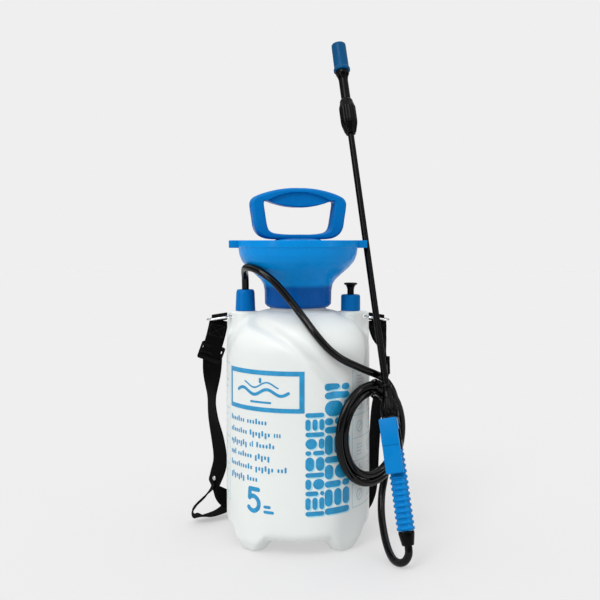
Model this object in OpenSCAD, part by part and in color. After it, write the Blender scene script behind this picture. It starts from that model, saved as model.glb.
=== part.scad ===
// Five-litre pump sprayer: tank, filling funnel, hand pump, hose, spray lance and shoulder strap.
// Millimetres. The origin is the centre of the tank's base on the floor, +Z up, +X towards the lance.

/* [Tank] */
// Outer radius of the tank's straight side
tank_r = 89.5; // [89:0.1:90]
// Wall thickness of the blown tank
wall = 2.5; // [2:0.1:2.6]
// Height at which the straight side turns into the shoulder
shoulder_z = 236; // [232:1:238]
// Height at which the shoulder meets the neck
neck_z = 283; // [282.5:0.1:283.5]
// Outer radius of the filling neck
neck_r = 34.5; // [33.5:0.1:34.8]
// Height of the base panel between the feet
base_z = 16; // [16:0.5:17]
// Distance from the tank's axis to each foot
foot_at = 74; // [72:0.5:76]

/* [Ears] */
// Distance from the tank's axis to the outlet and the relief valve
ear_x = 66; // [65.5:0.1:66.5]
// Outer radius of the ear posts
ear_r = 15; // [14:0.5:15.5]
// Height of the top of the ear posts
ear_top = 282; // [281.5:0.1:282]

/* [Funnel] */
// Outer radius of the funnel's rim
funnel_r = 75.5; // [75:0.1:76]
// Height of the funnel's rim
rim_z = 370; // [369:0.5:371]
// Reach of the two lugs from the axis
lug_r = 86.5; // [86:0.1:88]

/* [Pump] */
// Outer radius of the pump barrel
barrel_r = 19; // [18:0.5:20]
// Height of the underside of the pump barrel
barrel_z = 109; // [100:1:115]
// Radius of the pump rod
rod_r = 5; // [4.5:0.1:5]
// Turn of the handle about the pump at rest, in degrees
handle_turn = 13; // [8:1:18]
// Height of the middle of the handle's top bar
handle_top = 435; // [433:1:438]
// Depth of the handle from front to back
handle_depth = 22; // [18:1:24]

/* [Lance] */
// Backward lean of the lance, in degrees
lance_back = 19.6; // [19.4:0.1:19.8]
// Sideways lean of the lance, in degrees
lance_side = 6.5; // [6.3:0.1:6.7]
// Radius of the lance tube
tube_r = 4; // [3.9:0.05:4]
// Radius of the grip over its ribs
grip_r = 10.25; // [9.8:0.05:10.5]
// Turn of the trigger about the lance, in degrees
trigger_turn = 18; // [15:1:20]

/* [Hose] */
// Outer diameter of the hose
hose_d = 9; // [8:0.1:9]
// Half of the coil's width and half of its height
coil_half = [48, 54]; // [45:1:55]

/* [Strap] */
// Width of the webbing
strap_w = 25; // [22:1:25]
// Thickness of the webbing
strap_t = 1.6; // [1.2:0.1:2]

/* [Hidden] */
$fn = 48;

// Clearances: between fixed pieces, and of a piece that runs in another.
gap = 0.1;
run = 0.07;

// Colours of the mouldings.
azure = [0.02, 0.47, 0.85];
deep_azure = [0.01, 0.37, 0.72];
milky = [0.93, 0.94, 0.92];
black = [0.05, 0.05, 0.055];
natural = [0.86, 0.87, 0.84];

// Heights where the tank's base meets its wall, and the wall its shoulder.
base_top = 50;
wall_top = 230;

// Where the heel's curve is centred, and the radius of each foot's pad.
heel_r = 77;
heel_z = 29;
foot_r = 13;

// Heights in the neck: the neck's lip, the funnel's inner flange, and the pump's own flange.
lip_z = neck_z + 25;
flange_z = lip_z + 2;
seat_z = flange_z + 3.5;
barrel_top = seat_z + 4;
cap_top = barrel_top + 33.5;
hub_r = 33.5;

// The lance passes through the funnel's right lug here.
lance_at = [86, 0, 361];

// Lance stations, measured up the lance from the lug.
tip_top = 294.5;
tip_base = 252;
nut_top = 209;
nut_base = 158;
collar_at = -182;
body_at = -212;
valve_at = -238;
pivot = [-9.5, -221];
grip_top = -251;
grip_base = -341;
lance_end = -357;
rib_pitch = 6.3;

// Strap eyes in the ears, and the middle of the rings that hang in them.
eye = [84, 0, 275];
ring_r = 9;
ring_half = 6;
ring_wire = 1.35;
ring_droop = 9;

// Route of the hose from the outlet cap to the coil.
hose_start = ear_top + 26.5;
RUN = [
    [-66, 0, hose_start], [-66, -1, 316], [-66, -5.5, 324.5], [-66, -14, 331], [-64.5, -24, 335.5],
    [-60.5, -34.5, 337], [-53.5, -44, 336], [-43, -52, 331.5], [-28, -58.5, 320.5], [-10, -62.5, 300],
    [6, -71, 279.8], [20, -82.3, 262], [34, -86.3, 246], [47, -85, 235], [57.6, -80.2, 228.3]
];
LEAD = [
    [58.7, -79.5, 227.6], [68.5, -71, 222.3], [80, -61, 216], [92, -50.2, 210], [99, -44.4, 206],
    [105.7, -39.3, 200.6], [111.4, -35.2, 193.5], [115.8, -32.2, 185.3], [118.9, -29.6, 176.7]
];
TAIL = [
    [116.6, -19.4, 120.5], [114, -22, 108], [110.8, -24.3, 96], [108, -27, 85], [105.5, -30, 74],
    [102.8, -34, 62], [101.3, -41, 49], [100.8, -51, 37.5], [101.5, -63, 27.5], [102.8, -76, 18.5],
    [105, -88, 11], [107.5, -97.5, 6.6], [110.7, -106, 4.6], [115.3, -113.5, 5], [120.1, -118.8, 8.5],
    [123.5, -121.3, 14.8], [124.6, -121.3, 21.5]
];
coil_at = [88, -55.5, 139];
coil_turn = 40;
bundle_r = 9.3;

// Half of the tie's loop, from its front to behind the coil. Each point is its place from the
// lance to the coil, along the coil, and up the lance; tie_turn faces the coil.
TIE = [
    [-5.5, 0, 0], [-4, 3.9, 0.4], [0.5, 5.8, 1.5], [6, 6, 5], [10, 4.5, 9.2], [15, 2.2, 11.2],
    [21.5, 0.8, 10], [26.3, 0.2, 5]
];
tie_back = 28.2;
tie_turn = 134;
tie_r = 1.2;

// Route of the webbing: place, and the direction its face looks in, in degrees about Z.
STRAP = [
    [-109, 14, 219, -96], [-109.5, 14, 205, -105], [-110.5, 16, 172, -148], [-109, 18, 146, -146],
    [-103, 20, 114, -134], [-101, 24, 85, -132], [-107, 28, 62, -140], [-111, 32, 48, -160],
    [-98, 46, 31, -190], [-86, 62, 20, -212], [-68, 82, 14, -230], [-38, 99, 13.5, -249],
    [0, 106, 13.5, -270], [38, 99, 13.5, -291], [68, 80, 14, -310], [86, 56, 22, -325],
    [94, 36, 44, -332], [97, 26, 72, -334], [98, 22, 110, -334], [100, 19, 150, -336],
    [105, 16, 180, -342], [112, 14, 204, -350]
];
LOOP = [
    [-110, 29, 58, -150], [-113.5, 33, 47, -168], [-124, 37, 33, -165], [-136, 39, 21, -130],
    [-138, 38, 13, -100], [-130, 39.5, 9, -105], [-118, 49, 10, -122], [-104, 61, 12, -132],
    [-91, 75, 13.5, -138]
];
END_LEFT = [[-100, 12.5, 269, -90], [-104, 12.5, 251, -93], [-109, 13, 233, -96], [-111, 13.5, 222, -96]];
END_RIGHT = [[100, 12.5, 269, -90], [103, 12.5, 250, -55], [110, 13, 230, -10], [113, 14, 206, 8]];

// ---- curves and swept shapes ----
function unit(v) = v / norm(v);
function at(p, i) = p[max(0, min(len(p) - 1, i))];
function blend(a, b, c, d, t) =
    0.5 * (2 * b + (c - a) * t + (2 * a - 5 * b + 4 * c - d) * t * t + (3 * b - a - 3 * c + d) * t * t * t);
function curve(p, n) = [
    for (i = [0:len(p) - 2]) for (j = [0:n - 1])
        blend(at(p, i - 1), at(p, i), at(p, i + 1), at(p, i + 2), j / n),
    p[len(p) - 1]
];
function place(p) = [p[0], p[1], p[2]];
function along(path, i) = unit(place(at(path, i + 1)) - place(at(path, i - 1)));
function square_to(n, t) = unit(n - (n * t) * t);
// One direction square to the path at each point, carried along it without twisting.
function carried(path, first) = [
    for (i = 0, n = square_to(first, along(path, 0)); i < len(path);
         i = i + 1, n = i < len(path) ? square_to(n, along(path, i)) : n) n
];
// Faces of a skin over rings of the same number of points. The two halves are split along opposite
// diagonals, so the two faces of a thin, twisted band stay parallel.
function skin(rings, sides, closed = false) = concat(
    [for (i = [0:rings - (closed ? 1 : 2)]) for (j = [0:sides - 1])
        let (a = i * sides, b = ((i + 1) % rings) * sides, k = (j + 1) % sides)
        each j < sides / 2
            ? [[a + j, b + j, b + k], [a + j, b + k, a + k]]
            : [[a + j, b + j, a + k], [b + j, b + k, a + k]]],
    closed ? [] : [[for (j = [0:sides - 1]) j], [for (j = [1:sides]) rings * sides - j]]
);

module tube(path, r, sides = 8, first = [1, 0, 0]) {
    normals = carried(path, first);
    points = [
        for (i = [0:len(path) - 1]) let (n = normals[i], b = cross(along(path, i), n))
            for (j = [0:sides - 1]) path[i] + r * (cos(360 * j / sides) * n + sin(360 * j / sides) * b)
    ];
    polyhedron(points, skin(len(path), sides), convexity = 6);
}

// A tube along a closed path that runs round the given middle.
module ring_tube(path, r, sides, middle) {
    last = len(path) - 1;
    points = [
        for (i = [0:last])
            let (t = unit(path[i < last ? i + 1 : 0] - path[i > 0 ? i - 1 : last]),
                 n = square_to(path[i] - middle, t), b = cross(t, n))
            for (j = [0:sides - 1]) path[i] + r * (cos(360 * j / sides) * n + sin(360 * j / sides) * b)
    ];
    polyhedron(points, skin(len(path), sides, true), convexity = 6);
}

module ribbon(route, width, thick, n = 4) {
    path = curve(route, n);
    points = [
        for (i = [0:len(path) - 1])
            let (t = along(path, i), m = square_to([cos(path[i][3]), sin(path[i][3]), 0], t), a = cross(m, t))
            for (s = [[1, 1], [-1, 1], [-1, -1], [1, -1]])
                place(path[i]) + s[0] * width / 2 * a + s[1] * thick / 2 * m
    ];
    polyhedron(points, skin(len(path), 4), convexity = 6);
}

// A coil spring along +Z with its lower end at z = 0.
module coil_spring(mean_r, wire_r, height, turns) {
    steps = 12 * turns;
    rise = height - 2 * wire_r;
    path = [
        for (i = [0:steps])
            [mean_r * cos(30 * i), mean_r * sin(30 * i), wire_r + rise * i / steps]
    ];
    tube(path, wire_r, 6, [0, 0, 1]);
}

// A flat ring between two radii.
module washer(inner, outer, z, h) {
    translate([0, 0, z]) rotate_extrude() translate([inner, 0]) square([outer - inner, h]);
}

module on_lance() {
    translate(lance_at) rotate([0, -lance_side, 0]) rotate([-lance_back, 0, 0]) children();
}

module on_trigger_side() {
    on_lance() rotate([0, 0, -trigger_turn]) children();
}

// ---- tank ----
// Half section of the tank, drawn inwards by the given amount.
function tank_half(inset) =
    let (side = tank_r - inset, floor_z = base_z + inset, top_z = neck_z - inset, mouth = neck_r - 1.2 * inset)
    concat(
        [[0, floor_z + 6], [40, floor_z + 3], [heel_r - 11, floor_z]],
        [for (a = [75:-15:0]) [heel_r + (side - heel_r) * cos(a), heel_z - (heel_z - floor_z) * sin(a)]],
        [for (a = [0:10:80]) [neck_r + 3.5 + (side - neck_r - 3.5) * pow(cos(a), 1.3),
            shoulder_z + (top_z - shoulder_z) * sin(a)]],
        [[neck_r + 2, top_z], [mouth, top_z], [mouth, lip_z + 8 * inset], [0, lip_z + 8 * inset]]
    );

module tank_form(inset) {
    rotate_extrude($fn = 96) polygon(tank_half(inset));
    for (a = [45:90:315])
        intersection() {
            rotate([0, 0, a]) translate([foot_at, 0, 0]) rotate_extrude() polygon([
                [0, inset], [foot_r - inset, inset], [foot_r + 11 - inset, 13], [foot_r + 23 - inset, 30], [0, 30]
            ]);
            rotate_extrude($fn = 96) polygon([
                [0, 0], [tank_r - 5.5 - inset, 0], [tank_r - 1.7 - inset, 5], [tank_r - inset, 14],
                [tank_r - inset, 60], [0, 60]
            ]);
        }
    for (s = [-1, 1])
        translate([s * ear_x, 0, 225]) cylinder(r = ear_r - inset, h = ear_top - 225 - inset);
}

// The whole blown tank between two heights. Its base, wall and shoulder meet flush.
module tank_between(low, high) {
    color(milky) difference() {
        intersection() {
            union() {
                tank_form(0);
                for (s = [-1, 1]) {
                    translate([s > 0 ? ear_x : -eye[0] - 5, -2.5, 240])
                        cube([eye[0] + 5 - ear_x, 5, ear_top - 240]);
                    translate([s * ear_x, 0, ear_top - 1]) cylinder(r = 8.5, h = s > 0 ? 7 : 15);
                }
            }
            translate([-120, -120, low]) cube([240, 240, high - low]);
        }
        tank_form(wall);
        translate([-ear_x, 0, ear_top - 10]) cylinder(r = 5, h = 40);
        translate([ear_x, 0, ear_top - 10]) cylinder(r = 3.5, h = 40);
        for (s = [-1, 1])
            translate([s * eye[0], 0, eye[2]]) rotate([90, 0, 0]) cylinder(r = 3, h = 20, center = true);
    }
}

module tank_base() {
    tank_between(-1, base_top);
}

module tank_wall() {
    tank_between(base_top, wall_top);
}

module tank_shoulder() {
    tank_between(wall_top, 340);
}

// ---- outlet ----
module outlet_cap() {
    color(deep_azure) translate([-ear_x, 0, ear_top]) rotate_extrude() polygon([
        [9, 0], [12.5, 0], [11.4, 23], [10.8, 25.4], [9, 26.5], [4.7, 26.5], [4.7, 20.5], [9, 20.5]
    ]);
}

module outlet_seal() {
    color(black) translate([-ear_x, 0, ear_top]) washer(5.3, 8.3, 14, 1.5);
}

module outlet_fitting() {
    color(black) translate([-ear_x, 0, ear_top]) rotate_extrude() polygon([
        [2.2, 10.2], [2.2, 26.4], [3, 26.4], [4, 23.5], [3.3, 23.5], [3.3, 18], [8.4, 18], [8.4, 15.5],
        [4.9, 15.5], [4.9, 2], [4.05, 2], [4.05, 10.2]
    ]);
}

module dip_tube() {
    color(natural) translate([-ear_x, 0, 0]) washer(2.8, 4, 26, ear_top - 16);
}

module dip_filter() {
    color(black) translate([-ear_x, 0, 23]) difference() {
        cylinder(r = 6, h = 18);
        translate([0, 0, 3]) cylinder(r = 4 + gap / 2, h = 20);
        for (z = [0.8:0.9:2.6])
            for (a = [0:45:135])
                rotate([0, 0, a]) translate([-7, -0.4, z]) cube([14, 0.8, 0.5]);
    }
}

// ---- relief valve ----
module relief_cap() {
    color(deep_azure) translate([ear_x, 0, ear_top]) rotate_extrude() polygon([
        [9, 0], [12, 0], [12, 18.6], [10.8, 20], [4.2 + run, 20], [4.2 + run, 17.5], [9, 17.5]
    ]);
}

module relief_pin() {
    color(black) translate([ear_x, 0, ear_top]) rotate_extrude() polygon([
        [0, 7.8], [6.5, 7.8], [6.5, 9.3], [4.2, 9.3], [4.2, 26.5], [4.8, 29], [6, 31.4], [8.5, 33],
        [8.5, 34.2], [7, 34.8], [0, 34.8]
    ]);
}

module relief_seal() {
    color([0.2, 0.2, 0.2]) translate([ear_x, 0, ear_top + 6]) cylinder(r = 6.5, h = 1.8);
}

module relief_spring() {
    color("silver") translate([ear_x, 0, ear_top + 9.4]) coil_spring(5.7, 0.45, 8, 4);
}

// ---- funnel and neck ----
module funnel() {
    bowl = [
        [35.2, 286.4], [38.4, 288], [41.4, 291.2], [41.7, 308], [42.6, 315.2], [45.5, 321.2],
        [52.8, 327.2], [62.4, 335.6], [69.6, 342.7], [73, 350], [75, 359.5], [funnel_r, rim_z],
        [funnel_r - 2.8, rim_z], [72.2, 359.8], [70.3, 351], [67.3, 344.8], [60.6, 338.2],
        [51, 329.8], [43.4, 323.6], [40, 317.5], [39.6, seat_z], [36, seat_z], [36, seat_z + 14.5],
        [33, seat_z + 14.5], [33, seat_z], [27.5, seat_z], [27.5, flange_z], [35.2, flange_z]
    ];
    color(azure) difference() {
        union() {
            rotate_extrude($fn = 96) polygon(bowl);
            difference() {
                intersection() {
                    translate([0, 0, rim_z - 9.5]) cylinder(r = lug_r, h = 9.5);
                    translate([-100, -13, rim_z - 10]) cube([200, 26, 12]);
                }
                translate([0, 0, rim_z - 12]) cylinder(r = 73.5, h = 20);
            }
        }
        on_lance() {
            cylinder(r = tube_r + 0.35, h = 60, center = true);
            translate([0, -tube_r - 0.35, -30]) cube([20, 2 * tube_r + 0.7, 60]);
        }
    }
}

module neck_gasket() {
    color([0.15, 0.15, 0.15]) washer(28.5, neck_r - 0.2, lip_z, 2);
}

// ---- pump ----
module pump_gasket() {
    color([0.15, 0.15, 0.15]) washer(27.8, 32, seat_z, 1.5);
}

module pump_barrel() {
    color(natural) difference() {
        rotate_extrude() polygon([
            [0, barrel_z], [barrel_r, barrel_z], [barrel_r, seat_z + 1.5], [32, seat_z + 1.5],
            [32, barrel_top], [barrel_r - 2, barrel_top], [barrel_r - 2, barrel_z + 3], [0, barrel_z + 3]
        ]);
        translate([0, 0, barrel_z - 1]) cylinder(r = 1.6, h = 6);
        for (a = [0:60:300])
            rotate([0, 0, a]) translate([6, 0, barrel_z - 1]) cylinder(r = 1.6, h = 6);
    }
}

module check_valve() {
    color([0.2, 0.2, 0.2]) translate([0, 0, barrel_z]) rotate_extrude() polygon([
        [0, -1.6], [9.5, -1], [9.5, 0], [1.5, 0], [1.5, 3], [2.3, 3], [1.6, 5.2], [0, 5.2]
    ]);
}

module pump_cap() {
    color(azure) difference() {
        rotate_extrude() polygon([
            [7, barrel_top], [32.6, barrel_top], [32.6, seat_z + 15], [37.5, seat_z + 15],
            [37.5, seat_z + 18.5], [29, seat_z + 18.5], [28.5, cap_top], [rod_r + run, cap_top],
            [rod_r + run, cap_top - 6], [24, cap_top - 6], [24, barrel_top + 3.5], [7, barrel_top + 3.5]
        ]);
        for (a = [0:30:330])
            rotate([0, 0, a]) translate([38.5, 0, seat_z + 10]) cylinder(r = 2.5, h = 12);
    }
}

piston_z = barrel_z + 11;
module piston() {
    color(black) translate([0, 0, piston_z]) rotate_extrude() polygon([
        [0, 0], [barrel_r - 2.6, 0], [barrel_r - 2.6, 3], [barrel_r - 5.1, 3], [barrel_r - 5.1, 7.2],
        [barrel_r - 2.6, 7.2], [barrel_r - 2.6, 9], [9, 9], [8, 16], [rod_r + run, 16], [rod_r + run, 9.7],
        [rod_r + 0.9, 9.7], [rod_r + 0.9, 7.9], [rod_r + run, 7.9], [rod_r + run, 3.5], [0, 3.5]
    ]);
}

module piston_seal() {
    color([0.2, 0.2, 0.2]) washer(barrel_r - 5, barrel_r - 2 - run, piston_z + 3.1, 4);
}

module pump_rod() {
    color("silver") difference() {
        rotate_extrude() polygon([
            [0, piston_z + 3.6], [rod_r - 0.6, piston_z + 3.6], [rod_r, piston_z + 4.6],
            [rod_r, piston_z + 8], [rod_r + 0.8, piston_z + 8.2], [rod_r + 0.8, piston_z + 9.4],
            [rod_r, piston_z + 9.6], [rod_r, rim_z + 4], [0, rim_z + 4]
        ]);
        translate([0, 0, rim_z - 11]) rotate([0, 90, handle_turn]) cylinder(r = 1.5, h = 20, center = true);
    }
}

module handle_pin() {
    color("silver") rotate([0, 0, handle_turn]) translate([0, 0, rim_z - 11]) rotate([0, 90, 0])
        cylinder(r = 1.45, h = 17, center = true);
}

// The handle's outline and its window, with every corner rounded by r.
module rounded(half, r) {
    offset(r = r) offset(delta = -r)
        polygon(concat(half, [for (i = [len(half) - 1:-1:0]) [-half[i][0], half[i][1]]]));
}

module handle() {
    top = handle_top;
    outline = [
        [34, rim_z + 1], [50, rim_z + 5], [56, rim_z + 14], [60, top - 24], [57.5, top - 14],
        [46, top - 7.5], [25, top - 1.8], [8, top]
    ];
    window = [
        [15, rim_z + 7.2], [33, rim_z + 9.5], [40, rim_z + 14.5], [45, top - 18], [42, top - 16.5],
        [25, top - 21.5], [8, top - 24]
    ];
    lens_r = 162.5;
    color(azure) rotate([0, 0, handle_turn]) difference() {
        union() {
            rotate([90, 0, 0]) linear_extrude(handle_depth, center = true) rounded(outline, 5);
            translate([0, 0, cap_top - 6]) cylinder(r1 = hub_r, r2 = hub_r - 0.5, h = rim_z + 3 - cap_top + 6);
        }
        rotate([90, 0, 0]) linear_extrude(handle_depth + 2, center = true) rounded(window, 2);
        // Lens-shaped recesses in both faces of the top bar.
        for (s = [-1, 1])
            translate([0, s * (handle_depth / 2 + 1), top - 15.5]) rotate([90, 0, 0])
                linear_extrude(8, center = true) intersection() {
                    translate([0, lens_r - 5]) circle(lens_r, $fn = 180);
                    translate([0, 5 - lens_r]) circle(lens_r, $fn = 180);
                }
        // Hollow hub, leaving a boss round the end of the rod.
        difference() {
            translate([0, 0, cap_top - 7]) cylinder(r = 30.5, h = rim_z - 4 - cap_top + 7);
            translate([0, 0, cap_top + 1.5]) cylinder(r = 9.5, h = 40);
        }
        translate([0, 0, cap_top - 1]) cylinder(r = rod_r + 0.02, h = rim_z + 4.5 - cap_top + 1);
        translate([0, 0, rim_z - 11]) rotate([0, 90, 0]) cylinder(r = 1.5, h = 17.4, center = true);
    }
}

// ---- lance ----
module lance_tube() {
    color(black) on_lance() rotate_extrude() polygon([
        [3, -205], [tube_r, -205], [tube_r, 171], [7.5, 171], [7.5, 174], [tube_r, 174], [3, 174]
    ]);
}

module lance_seal() {
    color([0.2, 0.2, 0.2]) on_lance() washer(3.2, 6, 174, 2.4);
}

module union_nut() {
    color(black) on_lance() rotate_extrude() polygon([
        [tube_r + gap, nut_base], [6.5, nut_base], [7.4, nut_base + 3], [11, nut_base + 16],
        [11, nut_top - 9], [8.2, nut_top - 2], [7.2, nut_top], [6.3, nut_top], [6.3, 189], [8, 189],
        [8, 170.8], [tube_r + gap, 170.8]
    ]);
}

module nozzle_stem() {
    color(black) on_lance() rotate_extrude() polygon([
        [1.5, 176.5], [7.8, 176.5], [7.8, 188.6], [6.2, 188.8], [6.2, 241], [8.8, 248], [8.8, tip_base - 0.3],
        [6.3, tip_base - 0.3], [6.3, 260.4], [5.2, 260.4], [5.2, 263.4], [6.3, 263.4], [6.3, 284], [3, 289],
        [1.5, 289]
    ]);
}

module nozzle_seal() {
    color([0.2, 0.2, 0.2]) on_lance() washer(5.25, 6.43, 260.6, 2.6);
}

module nozzle_cap() {
    color(deep_azure) on_lance() rotate_extrude() polygon([
        [6.5, tip_base], [11, tip_base], [11, tip_base + 3.5], [9.9, tip_base + 5.5], [9.7, tip_top - 1.5],
        [9, tip_top - 0.3], [7.4, tip_top], [0.8, tip_top], [0.8, tip_top - 3], [6.5, tip_top - 8]
    ]);
}

module lance_nut() {
    color(black) on_lance() difference() {
        rotate_extrude() polygon([
            [tube_r + gap, collar_at], [5.2, collar_at], [6.2, collar_at - 7], [7.2, collar_at - 9],
            [10.6, collar_at - 20], [10.6, body_at], [6.2, body_at], [6.2, collar_at - 8],
            [tube_r + gap, collar_at - 8]
        ]);
        for (a = [0:24:336])
            rotate([0, 0, a]) translate([11.1, 0, body_at - 1]) cylinder(r = 1, h = 18);
    }
}

// Shapes of the valve body about the lance's axis.
module valve_shell() {
    translate([0, 0, body_at - 1]) cylinder(r = 6.1, h = 20.5);
    translate([0, 0, grip_top + 0.3]) cylinder(r = 9.8, h = body_at - grip_top - 0.6);
    translate([0, 0, lance_end + 5.3]) cylinder(r = 5, h = grip_top - lance_end);
}

module valve_body() {
    color(black) difference() {
        union() {
            on_lance() valve_shell();
            on_trigger_side() translate([-7.9, -12.5, -229]) cube([15.8, 12.5, 229 + body_at - 0.3]);
        }
        on_lance() {
            translate([0, 0, -205.2]) cylinder(r = tube_r + gap / 2, h = 20);
            translate([0, 0, valve_at]) cylinder(r = 2.5, h = 40);
            translate([0, 0, -262]) cylinder(r = 2.5, h = 262 + valve_at);
            translate([0, 0, lance_end]) cylinder(r = 3.6, h = -262 - lance_end);
        }
        on_trigger_side() {
            translate([0, 0, valve_at]) rotate([90, 0, 0]) cylinder(r = 2 + run, h = 20);
            translate([0, 12, valve_at]) rotate([90, 0, 0]) cylinder(r = 4.6, h = 15);
            translate([0, pivot[0], pivot[1]]) rotate([0, 90, 0]) cylinder(r = 1.62, h = 30, center = true);
            translate([-3.8, 8, -231.5]) cube([7.6, 5, 17]);
        }
    }
}

module valve_plug() {
    color(black) on_trigger_side() translate([0, 10.5, valve_at]) rotate([90, 0, 0]) cylinder(r = 4.55, h = 3.3);
}

module valve_stem() {
    color("silver") on_trigger_side() translate([0, 0.3, valve_at]) rotate([90, 0, 0]) {
        cylinder(r = 4.3, h = 2);
        cylinder(r = 2, h = 14.9);
    }
}

module valve_seal() {
    color([0.2, 0.2, 0.2]) on_trigger_side() translate([0, -1.7, valve_at]) rotate([90, 0, 0])
        washer(2, 4.3, 0, 1.2);
}

module valve_spring() {
    color("silver") on_trigger_side() translate([0, 0.4, valve_at]) rotate([-90, 0, 0])
        coil_spring(3, 0.35, 6.7, 5);
}

module trigger() {
    half_w = 10.25;
    face = -17.2;
    color(azure) on_trigger_side() difference() {
        union() {
            translate([-half_w, face, -278]) cube([2 * half_w, 4.2, 63]);
            for (s = [-1, 1])
                translate([s > 0 ? 8.25 : -half_w, face, -228.5]) cube([2, 10.8, 13.5]);
            translate([-half_w, face - 0.6, -246]) cube([2 * half_w, 2, 31]);
        }
        translate([-8.25, face + 2.2, -276]) cube([16.5, 20, 59]);
        translate([0, pivot[0], pivot[1]]) rotate([0, 90, 0]) cylinder(r = 1.6 + run, h = 30, center = true);
    }
}

module trigger_pin() {
    color("silver") on_trigger_side() translate([0, pivot[0], pivot[1]]) rotate([0, 90, 0])
        cylinder(r = 1.6, h = 20.3, center = true);
}

module trigger_lock() {
    color(black) on_trigger_side() difference() {
        translate([-3.5, 8.3, -228]) cube([7, 4.2, 10.5]);
        for (z = [-226:2:-220])
            translate([-5, 13, z]) rotate([0, 90, 0]) cylinder(r = 0.9, h = 10);
    }
}

module grip() {
    ribs = 13;
    color(azure) difference() {
        union() {
            on_lance() {
                translate([0, 0, grip_base]) cylinder(r = grip_r - 1.7, h = grip_top - grip_base);
                for (i = [0:ribs])
                    translate([0, 0, grip_base + 0.6 + rib_pitch * i]) cylinder(r = grip_r, h = 4.2);
            }
            on_trigger_side() for (a = [45:90:315])
                rotate([0, 0, a]) translate([grip_r - 3, -1.8, grip_base]) cube([2.8, 3.6, grip_top - grip_base]);
        }
        on_lance() translate([0, 0, grip_base - 1]) cylinder(r = 5.1, h = 100);
        on_trigger_side() translate([-12, -20, -281]) cube([24, 14.2, 40]);
    }
}

module grip_filter() {
    color(natural) on_lance() difference() {
        washer(2.7, 3.4, -340, 70);
        for (z = [-336:8:-276]) translate([0, 0, z]) rotate([90, 0, 0]) cylinder(r = 1.6, h = 10, center = true);
    }
}

module grip_cap() {
    color(black) on_lance() rotate_extrude() polygon([
        [5.1, grip_base - 0.1], [9, grip_base - 0.1], [8.8, grip_base - 5], [6.4, lance_end], [3, lance_end],
        [3, lance_end + 5], [5.1, lance_end + 5]
    ]);
}

// ---- hose ----
// Foot of the lance, where the hose goes in, and the way the lance points.
lance_dir = [-sin(lance_side) * cos(lance_back), sin(lance_back), cos(lance_side) * cos(lance_back)];
hose_end = lance_at + lance_end * lance_dir;

module hose_run() {
    color(black) tube(curve(RUN, 2), hose_d / 2, 10);
}

module hose_lead() {
    color(black) tube(curve(LEAD, 2), hose_d / 2, 8);
}

module hose_tail() {
    color(black) tube(curve(concat(TAIL, [hose_end]), 2), hose_d / 2, 8);
}

module hose_coil() {
    rings = 40;
    plan = [cos(coil_turn), sin(coil_turn), 0];
    path = [
        for (i = [0:rings - 1]) let (a = 360 * i / rings)
            coil_at + coil_half[0] * cos(a) * plan + [0, 0, coil_half[1] * sin(a)]
    ];
    color(black) ring_tube(path, bundle_r, 10, coil_at);
}

// A tie that crosses the lance tube in front, and goes over and under the coil behind it.
module hose_tie() {
    back = [for (i = [len(TIE) - 1:-1:1]) [TIE[i][0], -TIE[i][1], -TIE[i][2]]];
    path = curve(concat(TIE, [[tie_back, 0, 0]], back, [TIE[0]]), 2);
    open = [for (i = [0:len(path) - 2]) path[i]];
    color(black) on_lance() translate([0, 0, -176]) rotate([0, 0, tie_turn])
        ring_tube(open, tie_r, 6, [tie_back / 2, 0, 0]);
}

// ---- strap ----
module strap_ring() {
    translate(eye) rotate([0, ring_droop, 0]) translate([ring_r + ring_half, 0, 0]) {
        for (s = [-1, 1]) {
            translate([0, s * ring_r, 0]) rotate([0, 90, 0])
                cylinder(r = ring_wire, h = 2 * ring_half, center = true);
            translate([s * ring_half, 0, 0]) rotate([0, 0, s > 0 ? -90 : 90])
                rotate_extrude(angle = 180) translate([ring_r, 0]) circle(r = ring_wire, $fn = 24);
        }
    }
}

module ring_left() {
    color("silver") mirror([1, 0, 0]) strap_ring();
}

module ring_right() {
    color("silver") strap_ring();
}

// The fold of the webbing round the ring's rear bar.
module strap_fold() {
    translate(eye) rotate([0, ring_droop, 0]) translate([ring_r + ring_half, ring_r, 0])
        rotate([0, 90, 0]) difference() {
            cylinder(r = 4.7, h = 20, center = true);
            cylinder(r = ring_wire + 1.1, h = 30, center = true);
        }
}

module strap_end_left() {
    color(black) {
        mirror([1, 0, 0]) strap_fold();
        ribbon(END_LEFT, strap_w - 1, 2 * strap_t);
    }
}

module strap_end_right() {
    color(black) {
        strap_fold();
        ribbon(END_RIGHT, strap_w - 1, 2 * strap_t);
    }
}

module strap() {
    color(black) ribbon(STRAP, strap_w, strap_t);
}

module strap_loop() {
    color(black) ribbon(LOOP, strap_w * 0.8, strap_t);
}

// A three-bar slider with two slots, lying in the XZ plane.
module slider() {
    w = strap_w + 6;
    difference() {
        rotate([90, 0, 0]) linear_extrude(3.2, center = true) offset(r = 2) square([w - 4, 19], center = true);
        for (s = [-1, 1])
            translate([0, 0, s * 5.2]) cube([strap_w + 1, 10, 5], center = true);
    }
}

module slider_left() {
    color(black) translate([-110.5, 13.3, 227]) rotate([0, 20, 0]) slider();
}

module slider_right() {
    color(black) translate([112.5, 13.8, 211]) rotate([0, 8, 96]) slider();
}

module strap_rivet() {
    color("silver") translate([-107.5, 28, 62]) rotate([90, 0, -50]) {
        translate([0, 0, -strap_t]) cylinder(r = 1.5, h = 2 * strap_t);
        for (s = [-1, 1])
            translate([0, 0, s > 0 ? strap_t / 2 + 0.8 : -strap_t / 2 - 1.8]) cylinder(r = 3, h = 1);
    }
}

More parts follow.
